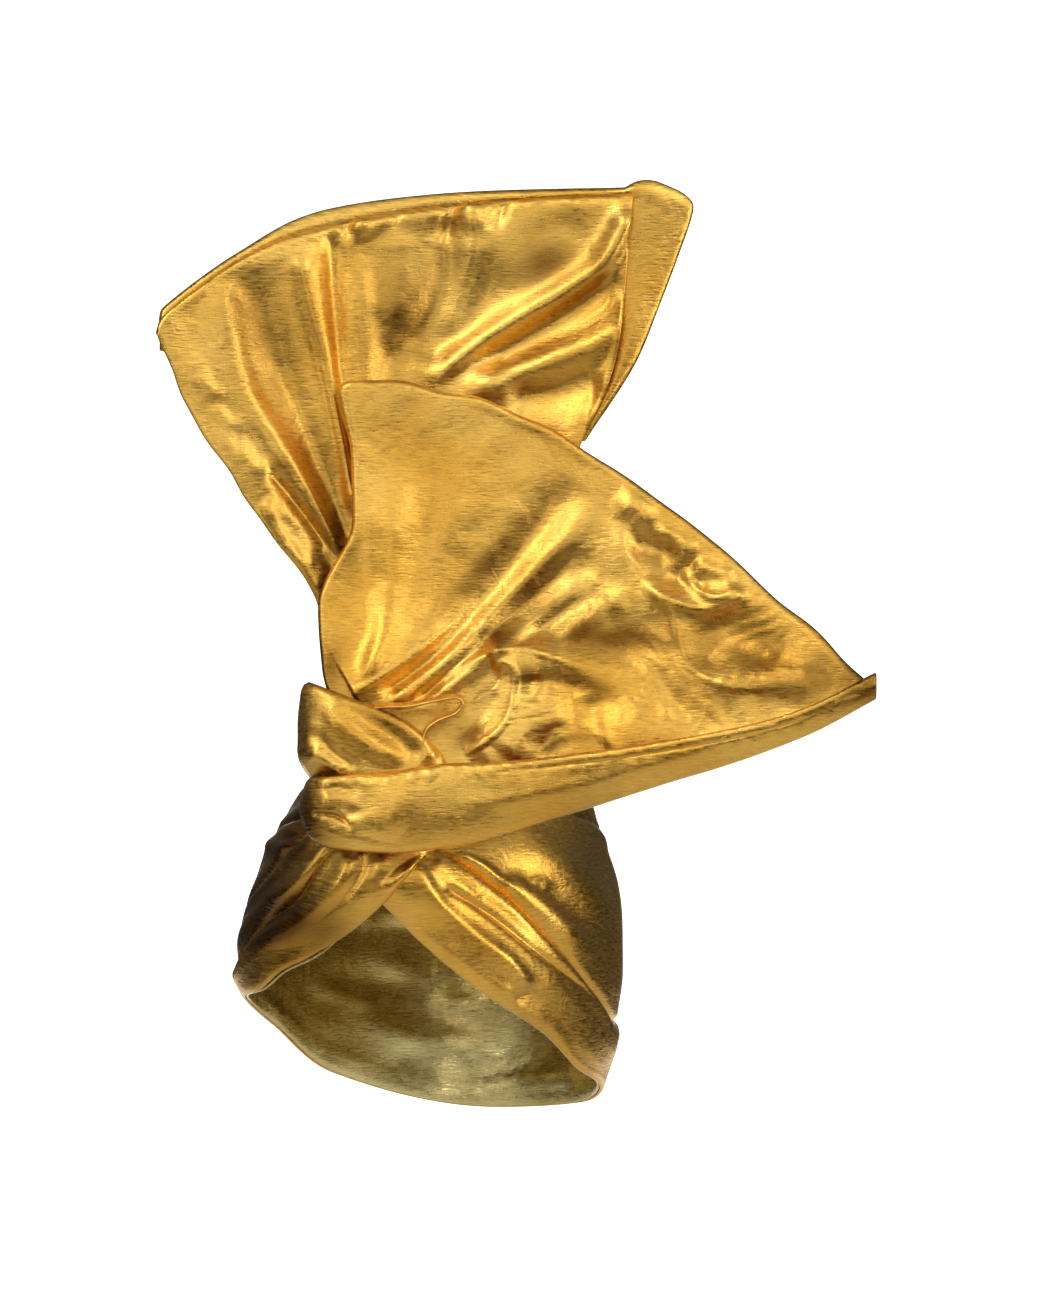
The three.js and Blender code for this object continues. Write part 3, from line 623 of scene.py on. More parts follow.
# Hem of the rear end: way, u, v, direction in degrees above the level, width as a share
REAR_HEM = 29
HEM_SECTIONS = [
    (0, 0, 0.93, 170, 0.05),
    (0.06, 0.02, 1, 145, 0.1),
    (0.2, 0.18, 1, 118, 0.12),
    (0.32, 0.36, 1, 100, 0.28),
    (0.45, 0.58, 1, 90, 0.22),
    (0.56, 0.8, 1, 90, 0.14),
    (0.66, 0.98, 1, 84, 0.1),
    (0.72, 1, 0.995, 22, 0.55),
    (0.76, 1, 0.985, 0, 0.97),
    (0.81, 1, 0.94, -12, 0.8),
    (0.87, 1, 0.86, -18, 0.5),
    (0.93, 1, 0.74, -20, 0.2),
    (1, 1, 0.6, -20, 0.04),
]


def rear_hem():
    """The turned hem: from under the rear end's edge it stands out by its width, behind it, with a round back:
    forward falls by sqrt(1 - t^2) towards its outer edge, and long shallow waves run along it."""
    u, v = grid(np.linspace(0, 1, 300), np.linspace(0, 1, 22))
    at = columns_of(HEM_SECTIONS, u)
    across, up, forward = rear_plain(at(1), at(2))
    aim = np.radians(at(3))
    width = REAR_HEM * at(4)
    out = mix(-5, width, v)
    t = np.clip(out / np.maximum(width, 1), 0, 1)
    forward = forward - 3.2 - 0.06 * np.maximum(0, out) - 1.8 * (1 - np.sqrt(1 - t**2)) + 1.0 * np.sin(np.pi * t)
    forward = forward + 0.5 * waves(u * 400, v * 12, 38, 21, stretch=1.5) * ease(v, 0.1, 0.4)
    across = across + out * np.cos(aim)
    up = up + out * np.sin(aim)
    return tied_point(across, up, forward), np.stack([across, up], -1)


# Front end: way, side, side up, fold, fold up, arch, stand, side out, fold out, cup
FRONT_REACH, FRONT_RISE, FRONT_FORWARD, FRONT_CUP = 227, 184, 45, 10
FRONT_SECTIONS = [
    (0, -0.075, 0.13, 0.062, -0.08, 0, 0.37, 0, 0, 0),
    (0.15, -0.11, 0.27, 0.2, -0.13, 0.09, 0.37, -0.1, 0.04, 0.1),
    (0.35, -0.119, 0.43, 0.405, -0.075, 0.12, 0.37, -0.21, 0.13, 0.5),
    (0.58, -0.05, 0.64, 0.6, 0, 0.13, 0.37, -0.3, 0.27, 0.9),
    (0.78, -0.053, 0.79, 0.8, 0.09, 0.13, 0.37, -0.36, 0.43, 1),
    (1, -0.07, 0.995, 0.99, 0.225, 0.125, 0.37, -0.42, 0.6, 0.8),
]
FRONT_FANS = [
    (3.8, 12, 12, 0.15, 0.3, [(362, 690), (382, 640), (392, 590), (396, 520), (404, 450)]),
    (1.4, 12, 12, 0.3, 0.4, [(372, 682), (412, 610), (440, 550), (462, 490), (476, 430)]),
    (-3.4, 10, 10, 0.06, 0.3, [(378, 698), (430, 660), (474, 612), (520, 556), (552, 506), (566, 466)]),
    (3.4, 10, 10, 0.06, 0.3, [(388, 706), (440, 668), (490, 620), (540, 568), (580, 526), (608, 490)]),
    (-3.4, 9, 10, 0.08, 0.3, [(410, 706), (456, 670), (506, 622), (556, 580), (604, 544)]),
    (3.2, 10, 8, 0.08, 0.3, [(430, 702), (478, 664), (526, 628), (570, 596), (612, 572)]),
    (-3.6, 8, 10, 0.2, 0.3, [(500, 656), (536, 632), (570, 608), (612, 588)]),
]
FRONT_FOLDS = [
    (0.9, 1.5, 1.5, 0.02, 0.4, [(353, 694), (378, 680), (410, 658), (447, 628), (480, 600)]),
    (3.6, 14, 7, 0.02, 0.5, [(353, 694), (378, 680), (410, 658), (447, 628), (490, 592)]),
    (2.6, 7, 6, 0.3, 0.3, [(540, 648), (574, 628), (606, 606), (640, 600)]),
    (1.1, 1.6, 1.6, 0.2, 0.4, [(425, 692), (462, 668), (500, 652), (524, 650), (548, 657), (580, 668),
                               (630, 676)]),
    (5.6, 8, 20, 0.25, 0.35, [(425, 692), (462, 668), (500, 652), (524, 650), (548, 657), (580, 668), (630, 676),
                           (672, 676)]),
    (-3.4, 6, 7, 0.3, 0.3, [(526, 678), (546, 684), (570, 688), (594, 696)]),
    (1.1, 1.6, 1.6, 0.1, 0.1, [(490, 668), (505, 664), (516, 676), (513, 704), (500, 730), (464, 757)]),
    (4.4, 17, 6.5, 0.15, 0.1, [(490, 668), (505, 664), (516, 676), (513, 704), (500, 730), (464, 757)]),
    (-2.0, 7, 7, 0.3, 0.3, [(529, 674), (532, 690), (526, 708)]),
    (3.0, 12, 10, 0.2, 0.3, [(502, 760), (522, 738), (550, 718), (576, 704)]),
    (-2.2, 9, 9, 0.2, 0.3, [(528, 756), (554, 736), (586, 718), (610, 708)]),
    (3.2, 12, 12, 0.2, 0.3, [(548, 758), (590, 736), (636, 720), (668, 716)]),
    (2.6, 10, 10, 0.2, 0.3, [(600, 752), (640, 738), (690, 722)]),
    (0.8, 1.6, 1.6, 0.3, 0.2, [(640, 582), (668, 612), (676, 640), (688, 668), (728, 688), (788, 688)]),
    (4.4, 6.5, 14, 0.2, 0.2, [(614, 508), (618, 540), (640, 582), (668, 612), (676, 640), (688, 668), (728, 688),
                           (788, 688)]),
    (0.9, 1.5, 1.5, 0.2, 0.2, [(650, 588), (670, 601), (704, 610), (732, 602), (748, 586)]),
    (3.4, 9, 5.0, 0.2, 0.2, [(640, 580), (668, 600), (704, 610), (732, 602), (748, 586)]),
    (0.9, 1.4, 1.4, 0.2, 0.2, [(684, 568), (694, 588), (716, 599), (742, 590)]),
    (2.4, 6, 3.6, 0.2, 0.2, [(684, 568), (694, 588), (716, 599), (742, 590)]),
    (-3.0, 5, 5, 0.3, 0.3, [(664, 572), (688, 584), (712, 588)]),
    (2.0, 3, 4, 0.2, 0.3, [(692, 562), (712, 572), (740, 578)]),
    (3.4, 6, 5, 0.3, 0.3, [(612, 524), (630, 508), (642, 516), (636, 536)]),
    (-3.0, 6, 6, 0.3, 0.3, [(622, 552), (650, 548), (682, 558)]),
    (2.8, 4, 6, 0.3, 0.3, [(648, 528), (676, 540), (702, 560)]),
    (-3.6, 10, 10, 0.3, 0.3, [(696, 628), (742, 642), (790, 668)]),
    (3.4, 9, 8, 0.3, 0.3, [(700, 664), (744, 676), (796, 682), (830, 676)]),
]


def front_plain(u, v):
    """The front end without folds: along each row a straight chord from its side edge to its bottom fold,
    arched square to the chord by a hump, coming forward with u^2 and hollowed by cup * sin(pi u)."""
    at = columns_of(FRONT_SECTIONS, v)
    chord_x = FRONT_REACH * (at(3) - at(1))
    chord_z = FRONT_RISE * (at(4) - at(2))
    length = np.hypot(chord_x, chord_z)
    arch = FRONT_REACH * at(5) * hump(u, 0.35)
    corner = corner_draw(np.minimum(u, 1 - u) * length, 6) * ease(v, 0.8, 1)
    lift = (arch - corner) / length
    across = FRONT_REACH * at(1) + chord_x * u - chord_z * lift
    up = FRONT_RISE * at(2) + chord_z * u + chord_x * lift
    out = KNOT[1] * at(6) + FRONT_FORWARD * mix(at(7), at(8), u * u)
    return across, up, out - FRONT_CUP * at(9) * np.sin(np.pi * u)


def front_tail():
    """The front end: its plain form, the folds drawn over the picture and uneven ground, all added forward,
    and its long free edge rolled back by a quarter circle."""
    u, v = grid(np.linspace(0, 1, 225), np.linspace(0, 1, 200))
    across, up, forward = front_plain(u, v)
    edge = ease(v, 0.9, 1) * ease(u, 0, 0.1) * ease(1 - u, 0, 0.1)
    up = up + 0.8 * waves(across, 0 * up, 30, 15) * edge
    x, z = across + KNOT_X, up + KNOT_Z
    soft = 0.4 * waves(across, up, 75, 13) + 0.1 * waves(across, up, 20, 14)
    bag_x, bag_z = picture(585, 722)
    bag = np.exp(-(((x - bag_x) / 62) ** 2) - ((z - bag_z) / 16) ** 2)
    fine = 0.35 * crumples(across, up, 34, 18) * ease(u, 0.35, 0.6) * ease(v, 0.2, 0.4)
    fine = fine + 0.15 * crumples(0.7 * (x + z), 1.6 * (z - 0.4 * x), 26, 28) * bag
    drawn = folded(x, z, FRONT_FOLDS) + folded(x, z, FRONT_FANS, 0.7)
    lift = drawn * ease(1 - v, 0, 0.03) + (soft + fine) * edge_fade(u, v) * ease(v, 0.05, 0.2)
    roll = np.clip(1 - (1 - v) * 230 / 3.0, 0, 1)
    side_roll = np.clip(1 - u * 240 / 3.0, 0, 1)
    forward = forward + lift - 2.4 * (1 - np.sqrt(1 - roll**2)) - 2.0 * (1 - np.sqrt(1 - side_roll**2))
    return tied_point(across, up, forward), np.stack([across, up], -1)


# Cuff: way, across, level, top, bottom, stand, out, lip
CUFF_WIDTH, CUFF_BULGE, CUFF_LIP = 35, 4, 11
CUFF_SECTIONS = [
    (0, -0.125, -0.06, 0.3, -0.35, -0.05, 0, 0),
    (0.06, -0.14, -0.06, 0.3, -0.4, 0.18, 0, 0),
    (0.12, -0.137, -0.06, 0.31, -0.46, 0.4, 0, 0.1),
    (0.18, -0.095, -0.07, 0.37, -0.54, 0.56, 0, 0.25),
    (0.3, 0.035, -0.08, 0.49, -0.55, 0.56, 0, 0.4),
    (0.42, 0.16, -0.08, 0.59, -0.47, 0.51, 0.03, 0.6),
    (0.56, 0.36, -0.03, 0.42, -0.36, 0.45, 0.12, 0.9),
    (0.75, 0.64, 0.04, 0.32, -0.16, 0.43, 0.3, 1),
    (0.9, 0.86, 0.13, 0.21, -0.13, 0.425, 0.48, 0.6),
    (1, 0.998, 0.21, 0.24, -0.08, 0.42, 0.6, 0.05),
]
CUFF_FOLDS = [
    (-2.4, 1.2, 1.6, 0.1, 0.3, [(314, 813), (338, 816), (358, 831)]),
    (3.0, 8, 10, 0.1, 0.1, [(388, 774), (392, 805), (384, 842)]),
    (-1.8, 7, 7, 0.2, 0.2, [(350, 776), (346, 800), (352, 824)]),
    (1.2, 3, 3, 0.2, 0.4, [(318, 800), (345, 800), (372, 812)]),
    (-1.2, 3, 3, 0.2, 0.4, [(325, 790), (350, 786), (372, 782)]),
    (1.0, 4, 5, 0.3, 0.3, [(430, 800), (520, 800), (640, 770), (740, 742)]),
    (1.2, 2.5, 2.5, 0.2, 0.3, [(322, 828), (360, 842), (410, 848)]),
]


def front_cuff():
    """The cuff: a strip between its bottom and top edges, leaning forward towards its top, bulged by
    sin(pi v), with both edges rolled back by a quarter circle and a narrow sewn groove below the top one."""
    u, v = grid(np.linspace(0, 1, 330), np.linspace(0, 1, 40))
    at = columns_of(CUFF_SECTIONS, u)
    width = at(3) - at(4)
    up = FRONT_RISE * at(2) + CUFF_WIDTH * mix(at(4), at(3), v)
    bulge = CUFF_BULGE * width * np.sin(np.pi * v)
    ahead = KNOT[1] * at(5) + FRONT_FORWARD * at(6) + CUFF_LIP * at(7) * v
    turn = ease(u, 0.04, 0.2)
    across = FRONT_REACH * at(1) - bulge * (1 - turn)
    forward = ahead + bulge * turn
    broad = np.maximum(width * CUFF_WIDTH, 4)
    top = np.clip(1 - (1 - v) * broad / 2.2, 0, 1)
    bottom = np.clip(1 - v * broad / 3.0, 0, 1)
    sewn = -0.5 * np.exp(-((((1 - v) * broad - 4.2) / 0.6) ** 2)) * ease(u, 0.4, 0.55) * ease(1 - u, 0.05, 0.15)
    pucker = 0.22 * waves(across, up, 7, 33) * np.exp(-((((1 - v) * broad - 4.2) / 2.5) ** 2))
    ground = 0.5 * waves(across, up, 30, 31, stretch=2) * np.sin(np.pi * v)
    fold = folded(across + KNOT_X, up + KNOT_Z, CUFF_FOLDS) * np.sin(np.pi * v)
    lift = sewn + pucker + ground + fold - 2.0 * (1 - np.sqrt(1 - top**2)) - 2.4 * (1 - np.sqrt(1 - bottom**2))
    forward = forward + lift * turn
    across = across - lift * (1 - turn)
    return tied_point(across, up, forward), np.stack([across, up], -1)


# Strap: way, across, top, bottom, forward
STRAP_SECTIONS = [
    (0, 0.4, 0.3, 0.02, -0.4),
    (0.09, 0.14, 0.34, 0, -0.46),
    (0.18, -0.2, 0.42, 0, -0.44),
    (0.27, -0.45, 0.52, 0.03, -0.28),
    (0.36, -0.52, 0.59, 0.06, 0),
    (0.46, -0.51, 0.62, 0.07, 0.24),
    (0.57, -0.38, 0.58, 0.05, 0.47),
    (0.69, -0.15, 0.5, -0.05, 0.54),
    (0.84, 0.2, 0.36, -0.1, 0.55),
    (0.94, 0.42, 0.18, -0.12, 0.465),
    (1, 0.5, 0.04, -0.13, 0.42),
]
STRAP_FOLDS = [
    (3.0, 5, 5, 0.2, 0.2, [(326, 694), (344, 722), (372, 744), (408, 764)]),
    (-3.0, 5, 5, 0.2, 0.2, [(346, 696), (376, 720), (404, 742), (424, 762)]),
    (2.4, 3, 5, 0.2, 0.2, [(378, 704), (402, 722), (424, 744), (436, 764)]),
    (-2.0, 3, 3, 0.2, 0.2, [(314, 728), (332, 752), (362, 772)]),
    (1.6, 3, 3, 0.2, 0.3, [(316, 748), (334, 764), (352, 774)]),
]


LOOP_LINE = [(374, 706), (392, 705), (412, 704), (436, 699), (456, 696), (463, 701), (457, 711), (440, 718),
             (428, 727), (424, 742), (426, 760)]


def knot_strap():
    """The strap: a strip carried round the knot between its bottom and top edges, filled out by sin(pi v), with
    gathers across it (sines along the way that lean with the height), drawn folds and a rolled top edge."""
    u, v = grid(np.linspace(0, 1, 230), np.linspace(0, 1, 44))
    at = columns_of(STRAP_SECTIONS, u)
    across = KNOT[0] * at(1)
    left = ease(u, 0.12, 0.27) * (1 - ease(u, 0.75, 0.9))
    up = KNOT[2] * mix(at(3) - 0.2 * left, at(2), v)
    tuck = 8 * left * (1 - ease(v, 0.05, 0.42))
    forward = KNOT[1] * at(4)
    base = np.stack([across, forward], -1)
    along = np.gradient(base, axis=0)
    along /= np.linalg.norm(along, axis=-1, keepdims=True)
    outward = np.stack([-along[..., 1], along[..., 0]], -1)
    gathers = 0.3 * np.sin(2 * np.pi * (9 * u + 0.8 * v)) * ease(1 - u, 0.3, 0.5)
    ground = 0.2 * waves(u * 160, up, 22, 41)
    drawn = folded(across + KNOT_X, up + KNOT_Z, STRAP_FOLDS) * ease(forward, 0, 18)
    roll = np.clip(1 - (1 - v) * 36 / 2.6, 0, 1)
    lift = (2.2 + gathers + ground + drawn) * np.sin(np.pi * np.clip(v, 0, 1)) ** 0.7
    lift = lift * ease(1 - u, 0, 0.06) - 2.2 * (1 - np.sqrt(1 - roll**2)) - tuck
    across = across + lift * outward[..., 0]
    forward = forward + lift * outward[..., 1]
    return tied_point(across, up, forward), np.stack([160 * u, up], -1)


def strap_loop():
    """A small flattened loop of the strap's top edge, seen end on: a bent line drawn over the picture, carried
    forward and drawn a little downwards as it comes."""
    line = smooth_line([picture(*p) for p in LOOP_LINE], 9)
    place, v = grid(np.arange(len(line)), np.linspace(0, 1, 12))
    across = line[place, 0] - KNOT_X
    up = line[place, 1] - KNOT_Z - 1.5 * v
    along = np.arange(len(line))[:, None] / (len(line) - 1)
    forward = mix(19, 26.5 - 3 * (1 - ease(along, 0, 0.3)), v) + 0 * along
    return tied_point(across, up, forward), np.stack([0.8 * place, 10 * v], -1)


def knot_core():
    """The gathered cloth inside the knot: an egg whose radius is 1 + 0.06 cos(9 a) about the upright axis, with
    finer gathers of 23 and 31 to the turn."""
    turn = 2 * np.pi * np.arange(144) / 144
    lift = np.linspace(-0.497, 0.497, 60) * np.pi
    a, b = grid(turn, lift)
    gather = 1 + 0.06 * np.cos(9 * a) + 0.02 * np.cos(23 * a + 2 * b) + 0.012 * np.cos(31 * a - b)
    across = 0.33 * KNOT[0] * np.cos(b) * np.cos(a) * gather
    forward = 0.26 * KNOT[1] * np.cos(b) * np.sin(a) * gather + 0.04 * KNOT[1]
    up = 0.33 * KNOT[2] * np.sin(b) + 0.34 * KNOT[2] - 18.8
    surface = tied_point(across, up, forward)
    weave = np.stack([22 * a, 24 * b], -1)
    return surface, np.concatenate([weave, weave[:1] + [22 * 2 * np.pi, 0]])


# Materials


def gold_lame(name, deep, bright, rough, crease, seed):
    """Metallic cloth: a metal whose colour wanders between two golds over the surface and is darkened towards
    brown by a point attribute of painted shade (and lightened where that falls below its ground, as painted
    light), with a fine weave, slubs that run along the weft, and shallow creases, all as bump and roughness."""
    material = bpy.data.materials.new(name)
    material.use_nodes = True
    tree = material.node_tree
    tree.nodes.clear()
    link = tree.links.new

    def make(kind, **values):
        """A node with values set on its sockets. A word's underscores stand for spaces."""
        node = tree.nodes.new("ShaderNode" + kind)
        for socket, value in values.items():
            node.inputs[socket.replace("_", " ")].default_value = value
        return node

    def noise(vector, scale, detail, **values):
        """Uneven ground over those coordinates, with scale waves to one of their units."""
        node = make("TexNoise", Scale=scale, Detail=detail, **values)
        link(vector, node.inputs["Vector"])
        return node.outputs["Fac"]

    def span(source, low, high, to_low, to_high):
        """A value carried over from one span to another, and held at its ends."""
        node = make("MapRange", From_Min=low, From_Max=high, To_Min=to_low, To_Max=to_high)
        link(source, node.inputs["Value"])
        return node.outputs[0]

    def multiplied(a, factor):
        """Colour a times the colour that goes into B, by that share."""
        node = make("Mix", Factor=factor)
        node.data_type = "RGBA"
        node.blend_type = "MULTIPLY"
        link(a, node.inputs["A"])
        return node

    def bump(height, strength, distance, below=None):
        """Relief in metres times strength, on top of the relief below."""
        node = make("Bump", Strength=strength, Distance=distance)
        link(height, node.inputs["Height"])
        if below:
            link(below, node.inputs["Normal"])
        return node.outputs[0]

    out = make("OutputMaterial")
    surface = make("BsdfPrincipled", Metallic=1.0)
    link(surface.outputs[0], out.inputs[0])
    place = make("Mapping", Location=(seed, 0.7 * seed, 0.3 * seed))
    link(make("TexCoord").outputs["Object"], place.inputs[0])
    place = place.outputs[0]
    woven = make("UVMap")
    woven.uv_map = "weave"
    along_weft = make("Mapping", Scale=(170, 1100, 1))
    link(woven.outputs[0], along_weft.inputs[0])
    along_warp = make("Mapping", Scale=(1500, 110, 1))
    link(woven.outputs[0], along_warp.inputs[0])
    slub = noise(along_weft.outputs[0], 1, 3, Roughness=0.65)
    threads = noise(along_warp.outputs[0], 1, 2)
    # Colour: a broad drift, darker and lighter slubs, and painted shade from the point attribute
    tint = make("ValToRGB")
    tint.color_ramp.elements[0].position = 0.36
    tint.color_ramp.elements[0].color = (*deep, 1)
    tint.color_ramp.elements[1].position = 0.64
    tint.color_ramp.elements[1].color = (*bright, 1)
    link(noise(place, 14, 3), tint.inputs[0])
    shade = multiplied(tint.outputs["Color"], 1)
    link(span(slub, 0.25, 0.75, 0.74, 1.22), shade.inputs["B"])
    # Painted shade: the colour is multiplied towards dark brown by the painted shade attribute
    painted_shade_mix = multiplied(shade.outputs["Result"], 0)
    painted_shade_mix.inputs["B"].default_value = (0.22, 0.165, 0.12, 1)
    painted_shade = make("Attribute")
    painted_shade.attribute_name = "painted_shade"
    link(painted_shade.outputs["Fac"], painted_shade_mix.inputs["Factor"])
    link(painted_shade_mix.outputs["Result"], surface.inputs["Base Color"])
    link(span(slub, 0.3, 0.7, rough - 0.14, rough + 0.12), surface.inputs["Roughness"])
    # Relief: shallow creases, soft unevenness, slubs and threads
    ridges = make("TexNoise", Scale=22, Detail=3, Distortion=0.6)
    ridges.noise_type = "RIDGED_MULTIFRACTAL"
    link(place, ridges.inputs["Vector"])
    relief = bump(ridges.outputs["Fac"], crease, 0.0012)
    relief = bump(noise(place, 75, 2.5, Distortion=0.8), 0.7, 0.0009, relief)
    relief = bump(slub, 0.8, 0.0003, relief)
    relief = bump(threads, 0.15, 0.0003, relief)
    link(relief, surface.inputs["Normal"])
    return material


gold = gold_lame("gold lame", (0.77, 0.41, 0.06), (0.93, 0.57, 0.12), 0.36, 0.1, 1.3)
gold_inside = gold_lame("gold lame inside", (0.62, 0.46, 0.15), (0.86, 0.73, 0.33), 0.3, 0.1, 4.1)

cloth("band_inside", *band(), gold_inside, (0.121, 0.55), "folded", [], ["head_band"], "gold_cloth_inside",
      True)
cloth("lapels", *ply(None, RIM, LAPEL, LAPEL_FOLDS, 51, 44), gold, (0.039, 0.7), "folded", ["band_inside"],
      ["ply_lapel"])
cloth("second_ply", *ply(RIM, LAPEL, SECOND, SECOND_FOLDS, 52, 52), gold, (0.055, 0.66), "folded",
      ["band_inside", "lapels"], ["ply_second"])
cloth("third_ply", *ply(LAPEL, SECOND, THIRD, UPPER_FOLDS, 53, 34), gold, (0.035, 0.58), "folded",
      ["band_inside", "second_ply"], ["ply_third"])
cloth("crown_ply", *ply(SECOND, THIRD, CROWN, UPPER_FOLDS, 54, 34), gold, (0.035, 0.48), "folded",
      ["band_inside", "third_ply"], ["ply_crown"])
cloth("rear_end", *rear_tail(), gold, (0.25, 0.25), "gathered", ["knot_strap_cloth"], ["rear_tail"], area=0.045)
cloth("rear_end_hem", *rear_hem(), gold, (0.016, 0.375), "folded", ["rear_end"], ["rear_hem"])
cloth("front_end", *front_tail(), gold, (0.3, 0.19), "gathered", ["knot_strap_cloth"], ["front_tail"], area=0.042)
cloth("front_end_cuff", *front_cuff(), gold, (0.031, 0.297), "folded", ["front_end"], ["front_cuff"])
cloth("knot_strap_cloth", *knot_strap(), gold, (0.045, 0.166), "folded", ["knot_gathers"], ["knot_strap"])
cloth("knot_strap_loop", *strap_loop(), gold, (0.01, 0.079), "folded", ["knot_strap_cloth"])
cloth("knot_gathers", *knot_core(), gold_inside, (0.064, 0.122), "gathered", ["second_ply"], ["knot_core"],
      "gold_cloth_inside", True, 0.0058)

# Floor, backdrop and light


def pale_sweep():
    """A pale floor that curves up into a backdrop: flat, then a quarter circle, then upright. Far behind the
    object it glows as evenly as lit paper."""
    steps = 60
    t = np.linspace(0, 1, steps)
    low, near, far, bend = -0.4, 0.7, 7.5, 1.6
    arc = np.clip((t - 0.5) / 0.3, 0, 1) * np.pi / 2
    deep = -near + (near + far - bend) * np.minimum(t / 0.5, 1) + bend * np.sin(arc)
    high = low + bend * (1 - np.cos(arc)) + 2.2 * np.clip((t - 0.8) / 0.2, 0, 1)
    a, b = grid(np.linspace(-1.1, 1.1, 3), np.arange(steps))
    c, s = math.cos(FRONT_TURN), math.sin(FRONT_TURN)
    points = np.stack([c * a - s * deep[b], s * a + c * deep[b], high[b]], -1)
    index = np.arange(3 * steps).reshape(3, steps)
    faces = np.stack([index[:-1, :-1], index[1:, :-1], index[1:, 1:], index[:-1, 1:]], -1).reshape(-1, 4)
    mesh = bpy.data.meshes.new("pale_sweep")
    mesh.from_pydata(points.reshape(-1, 3).tolist(), [], faces.tolist())
    mesh.shade_smooth()
    sweep = bpy.data.objects.new("pale_sweep", mesh)
    bpy.context.scene.collection.objects.link(sweep)
    material = bpy.data.materials.new("pale paper")
    material.use_nodes = True
    tree = material.node_tree
    surface = tree.nodes["Principled BSDF"]
    surface.inputs["Base Color"].default_value = (0.85, 0.84, 0.82, 1)
    surface.inputs["Roughness"].default_value = 0.9
    surface.inputs["Emission Color"].default_value = (1, 1, 1, 1)
    place = tree.nodes.new("ShaderNodeTexCoord")
    split = tree.nodes.new("ShaderNodeSeparateXYZ")
    glow = tree.nodes.new("ShaderNodeMapRange")
    glow.inputs["From Min"].default_value = 0.6
    glow.inputs["From Max"].default_value = 1.8
    tree.links.new(place.outputs["Object"], split.inputs[0])
    tree.links.new(split.outputs["Y"], glow.inputs["Value"])
    tree.links.new(glow.outputs[0], surface.inputs["Emission Strength"])
    mesh.materials.append(material)


pale_sweep()


def soft_light(name, azimuth, elevation, distance, size, power, color=(1, 1, 1)):
    """An area light on a sphere about the object, facing its middle."""
    a, e = math.radians(azimuth), math.radians(elevation)
    way = np.array([math.sin(a) * math.cos(e), -math.cos(a) * math.cos(e), math.sin(e)])
    data = bpy.data.lights.new(name, "AREA")
    data.shape = "RECTANGLE"
    data.size, data.size_y = size
    data.energy = power
    data.color = color
    lamp = bpy.data.objects.new(name, data)
    middle = np.array([0.03, -0.05, 0.2])
    lamp.location = middle + distance * way
    bpy.context.scene.collection.objects.link(lamp)
    lamp.rotation_euler = Vector(-way).to_track_quat("-Z", "Y").to_euler()


soft_light("window", -25, 45, 2.0, (0.8, 0.6), 9)
soft_light("left", -32, 5, 1.8, (0.25, 0.8), 2.0, (1, 0.98, 0.95))
soft_light("side", 86, 2, 1.8, (0.5, 0.8), 8.0, (1, 0.97, 0.92))
soft_light("front", 14, 0, 2.2, (0.16, 0.5), 2.2, (1, 0.98, 0.95))
soft_light("high", 54, 31, 1.8, (0.4, 0.4), 3.2, (1, 0.97, 0.92))

world = bpy.data.worlds.new("studio")
bpy.context.scene.world = world
world.use_nodes = True
sky = world.node_tree
sky_place = sky.nodes.new("ShaderNodeTexCoord")
sky_split = sky.nodes.new("ShaderNodeSeparateXYZ")
sky_ramp = sky.nodes.new("ShaderNodeValToRGB")
sky_half = sky.nodes.new("ShaderNodeMapRange")
sky_front = sky.nodes.new("ShaderNodeVectorMath")
sky_sides = sky.nodes.new("ShaderNodeMapRange")
sky_half.inputs["From Min"].default_value = -1
stops = sky_ramp.color_ramp.elements
stops[0].position = 0.36
stops[0].color = (0.07, 0.045, 0.025, 1)
stops[1].position = 0.5
stops[1].color = (0.41, 0.39, 0.35, 1)
for stop, value in ((0.62, 0.8), (0.8, 1.1), (1.0, 0.6)):
    stops.new(stop).color = (value, value, value, 1)
sky_front.operation = "DOT_PRODUCT"
sky_front.inputs[1].default_value = (math.sin(FRONT_TURN), -math.cos(FRONT_TURN), 0.35)
sky_sides.interpolation_type = "SMOOTHSTEP"
sky_sides.inputs["From Min"].default_value = -0.15
sky_sides.inputs["From Max"].default_value = 0.8
sky_sides.inputs["To Min"].default_value = 0.12
sky_sides.inputs["To Max"].default_value = 1.0
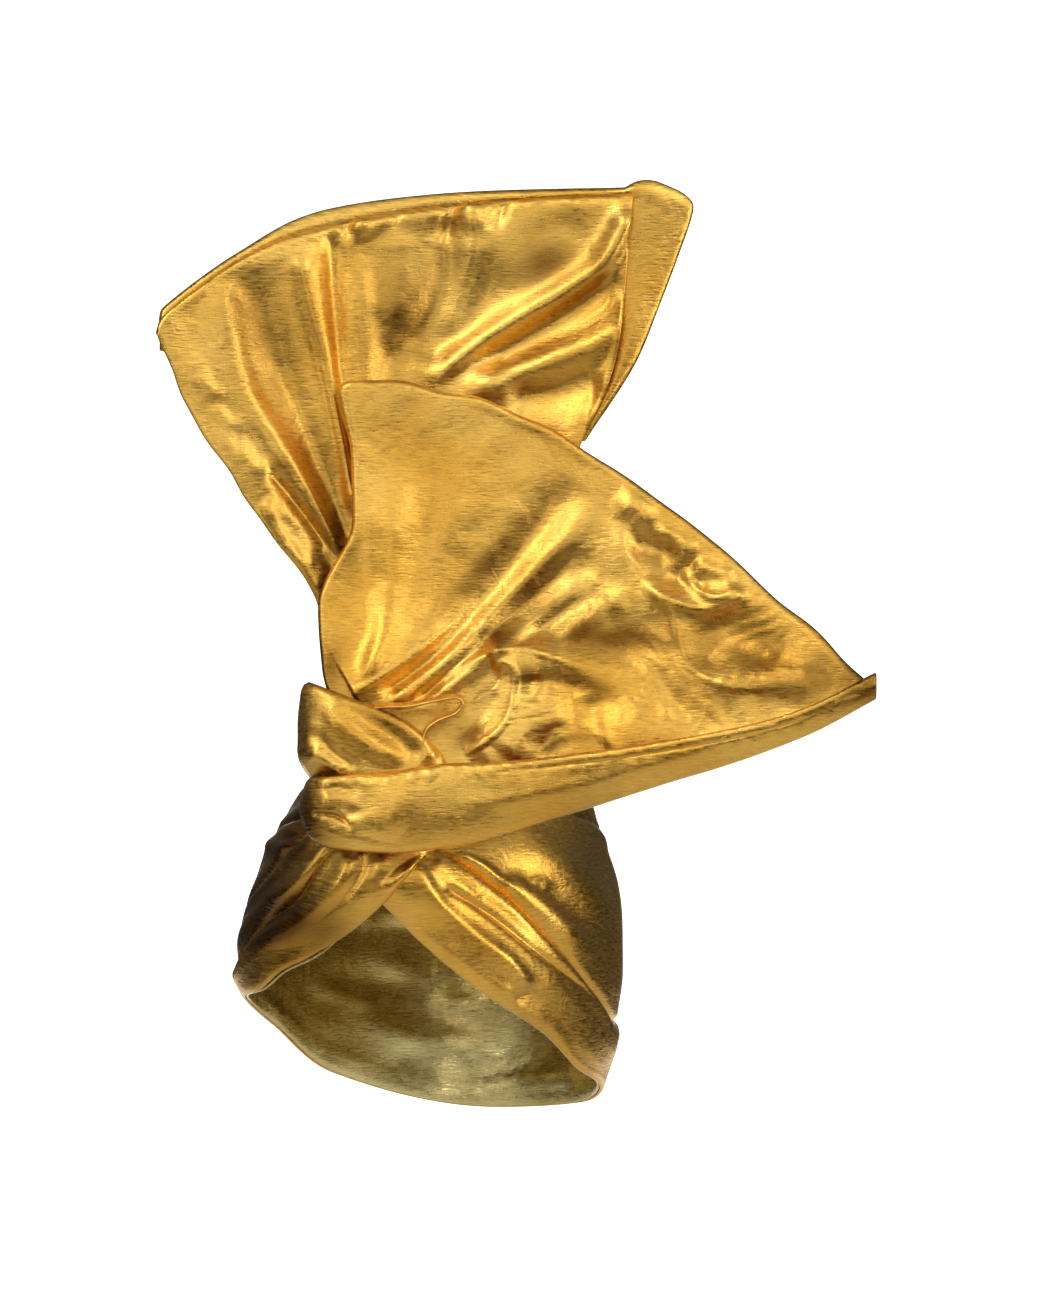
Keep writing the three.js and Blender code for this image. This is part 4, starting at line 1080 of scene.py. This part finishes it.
sky.links.new(sky_place.outputs["Generated"], sky_split.inputs[0])
sky.links.new(sky_place.outputs["Generated"], sky_front.inputs[0])
sky.links.new(sky_split.outputs["Z"], sky_half.inputs["Value"])
sky.links.new(sky_front.outputs["Value"], sky_sides.inputs["Value"])
sky.links.new(sky_half.outputs[0], sky_ramp.inputs[0])
sky.links.new(sky_ramp.outputs[0], sky.nodes["Background"].inputs["Color"])
sky.links.new(sky_sides.outputs[0], sky.nodes["Background"].inputs["Strength"])
# What shows past the backdrop is as pale as the backdrop is
pale_surround = sky.nodes.new("ShaderNodeBackground")
pale_surround.inputs["Color"].default_value = (0.8, 0.8, 0.79, 1)
seen_directly = sky.nodes.new("ShaderNodeLightPath")
surround = sky.nodes.new("ShaderNodeMixShader")
sky.links.new(seen_directly.outputs["Is Camera Ray"], surround.inputs["Fac"])
sky.links.new(sky.nodes["Background"].outputs[0], surround.inputs[1])
sky.links.new(pale_surround.outputs[0], surround.inputs[2])
sky.links.new(surround.outputs[0], sky.nodes["World Output"].inputs["Surface"])


# Camera at the photograph's angle


def place_camera(azimuth, elevation, distance):
    """A long lens that looks from that side at the picture's middle and takes in its whole height."""
    a, e = math.radians(azimuth), math.radians(elevation)
    right = np.array([math.cos(a), math.sin(a), 0])
    toward = np.array([math.sin(a) * math.cos(e), -math.cos(a) * math.cos(e), math.sin(e)])
    x, z = picture(PICTURE_WIDTH / 2, PICTURE_HEIGHT / 2)
    middle = right * x * MM + np.array([0, 0, z * MM]) + 0.09 * np.array([math.sin(a), -math.cos(a), 0])
    data = bpy.data.cameras.new("camera")
    data.sensor_width = 36
    data.lens = data.sensor_width * distance / (PICTURE_HEIGHT * PICTURE_STEP * MM)
    data.clip_end = 40
    camera = bpy.data.objects.new("camera", data)
    camera.location = middle + distance * toward
    camera.rotation_euler = Vector(-toward).to_track_quat("-Z", "Y").to_euler()
    bpy.context.scene.collection.objects.link(camera)
    bpy.context.scene.camera = camera


place_camera(20, -1, 5.0)
bpy.context.scene.view_settings.view_transform = "Standard"
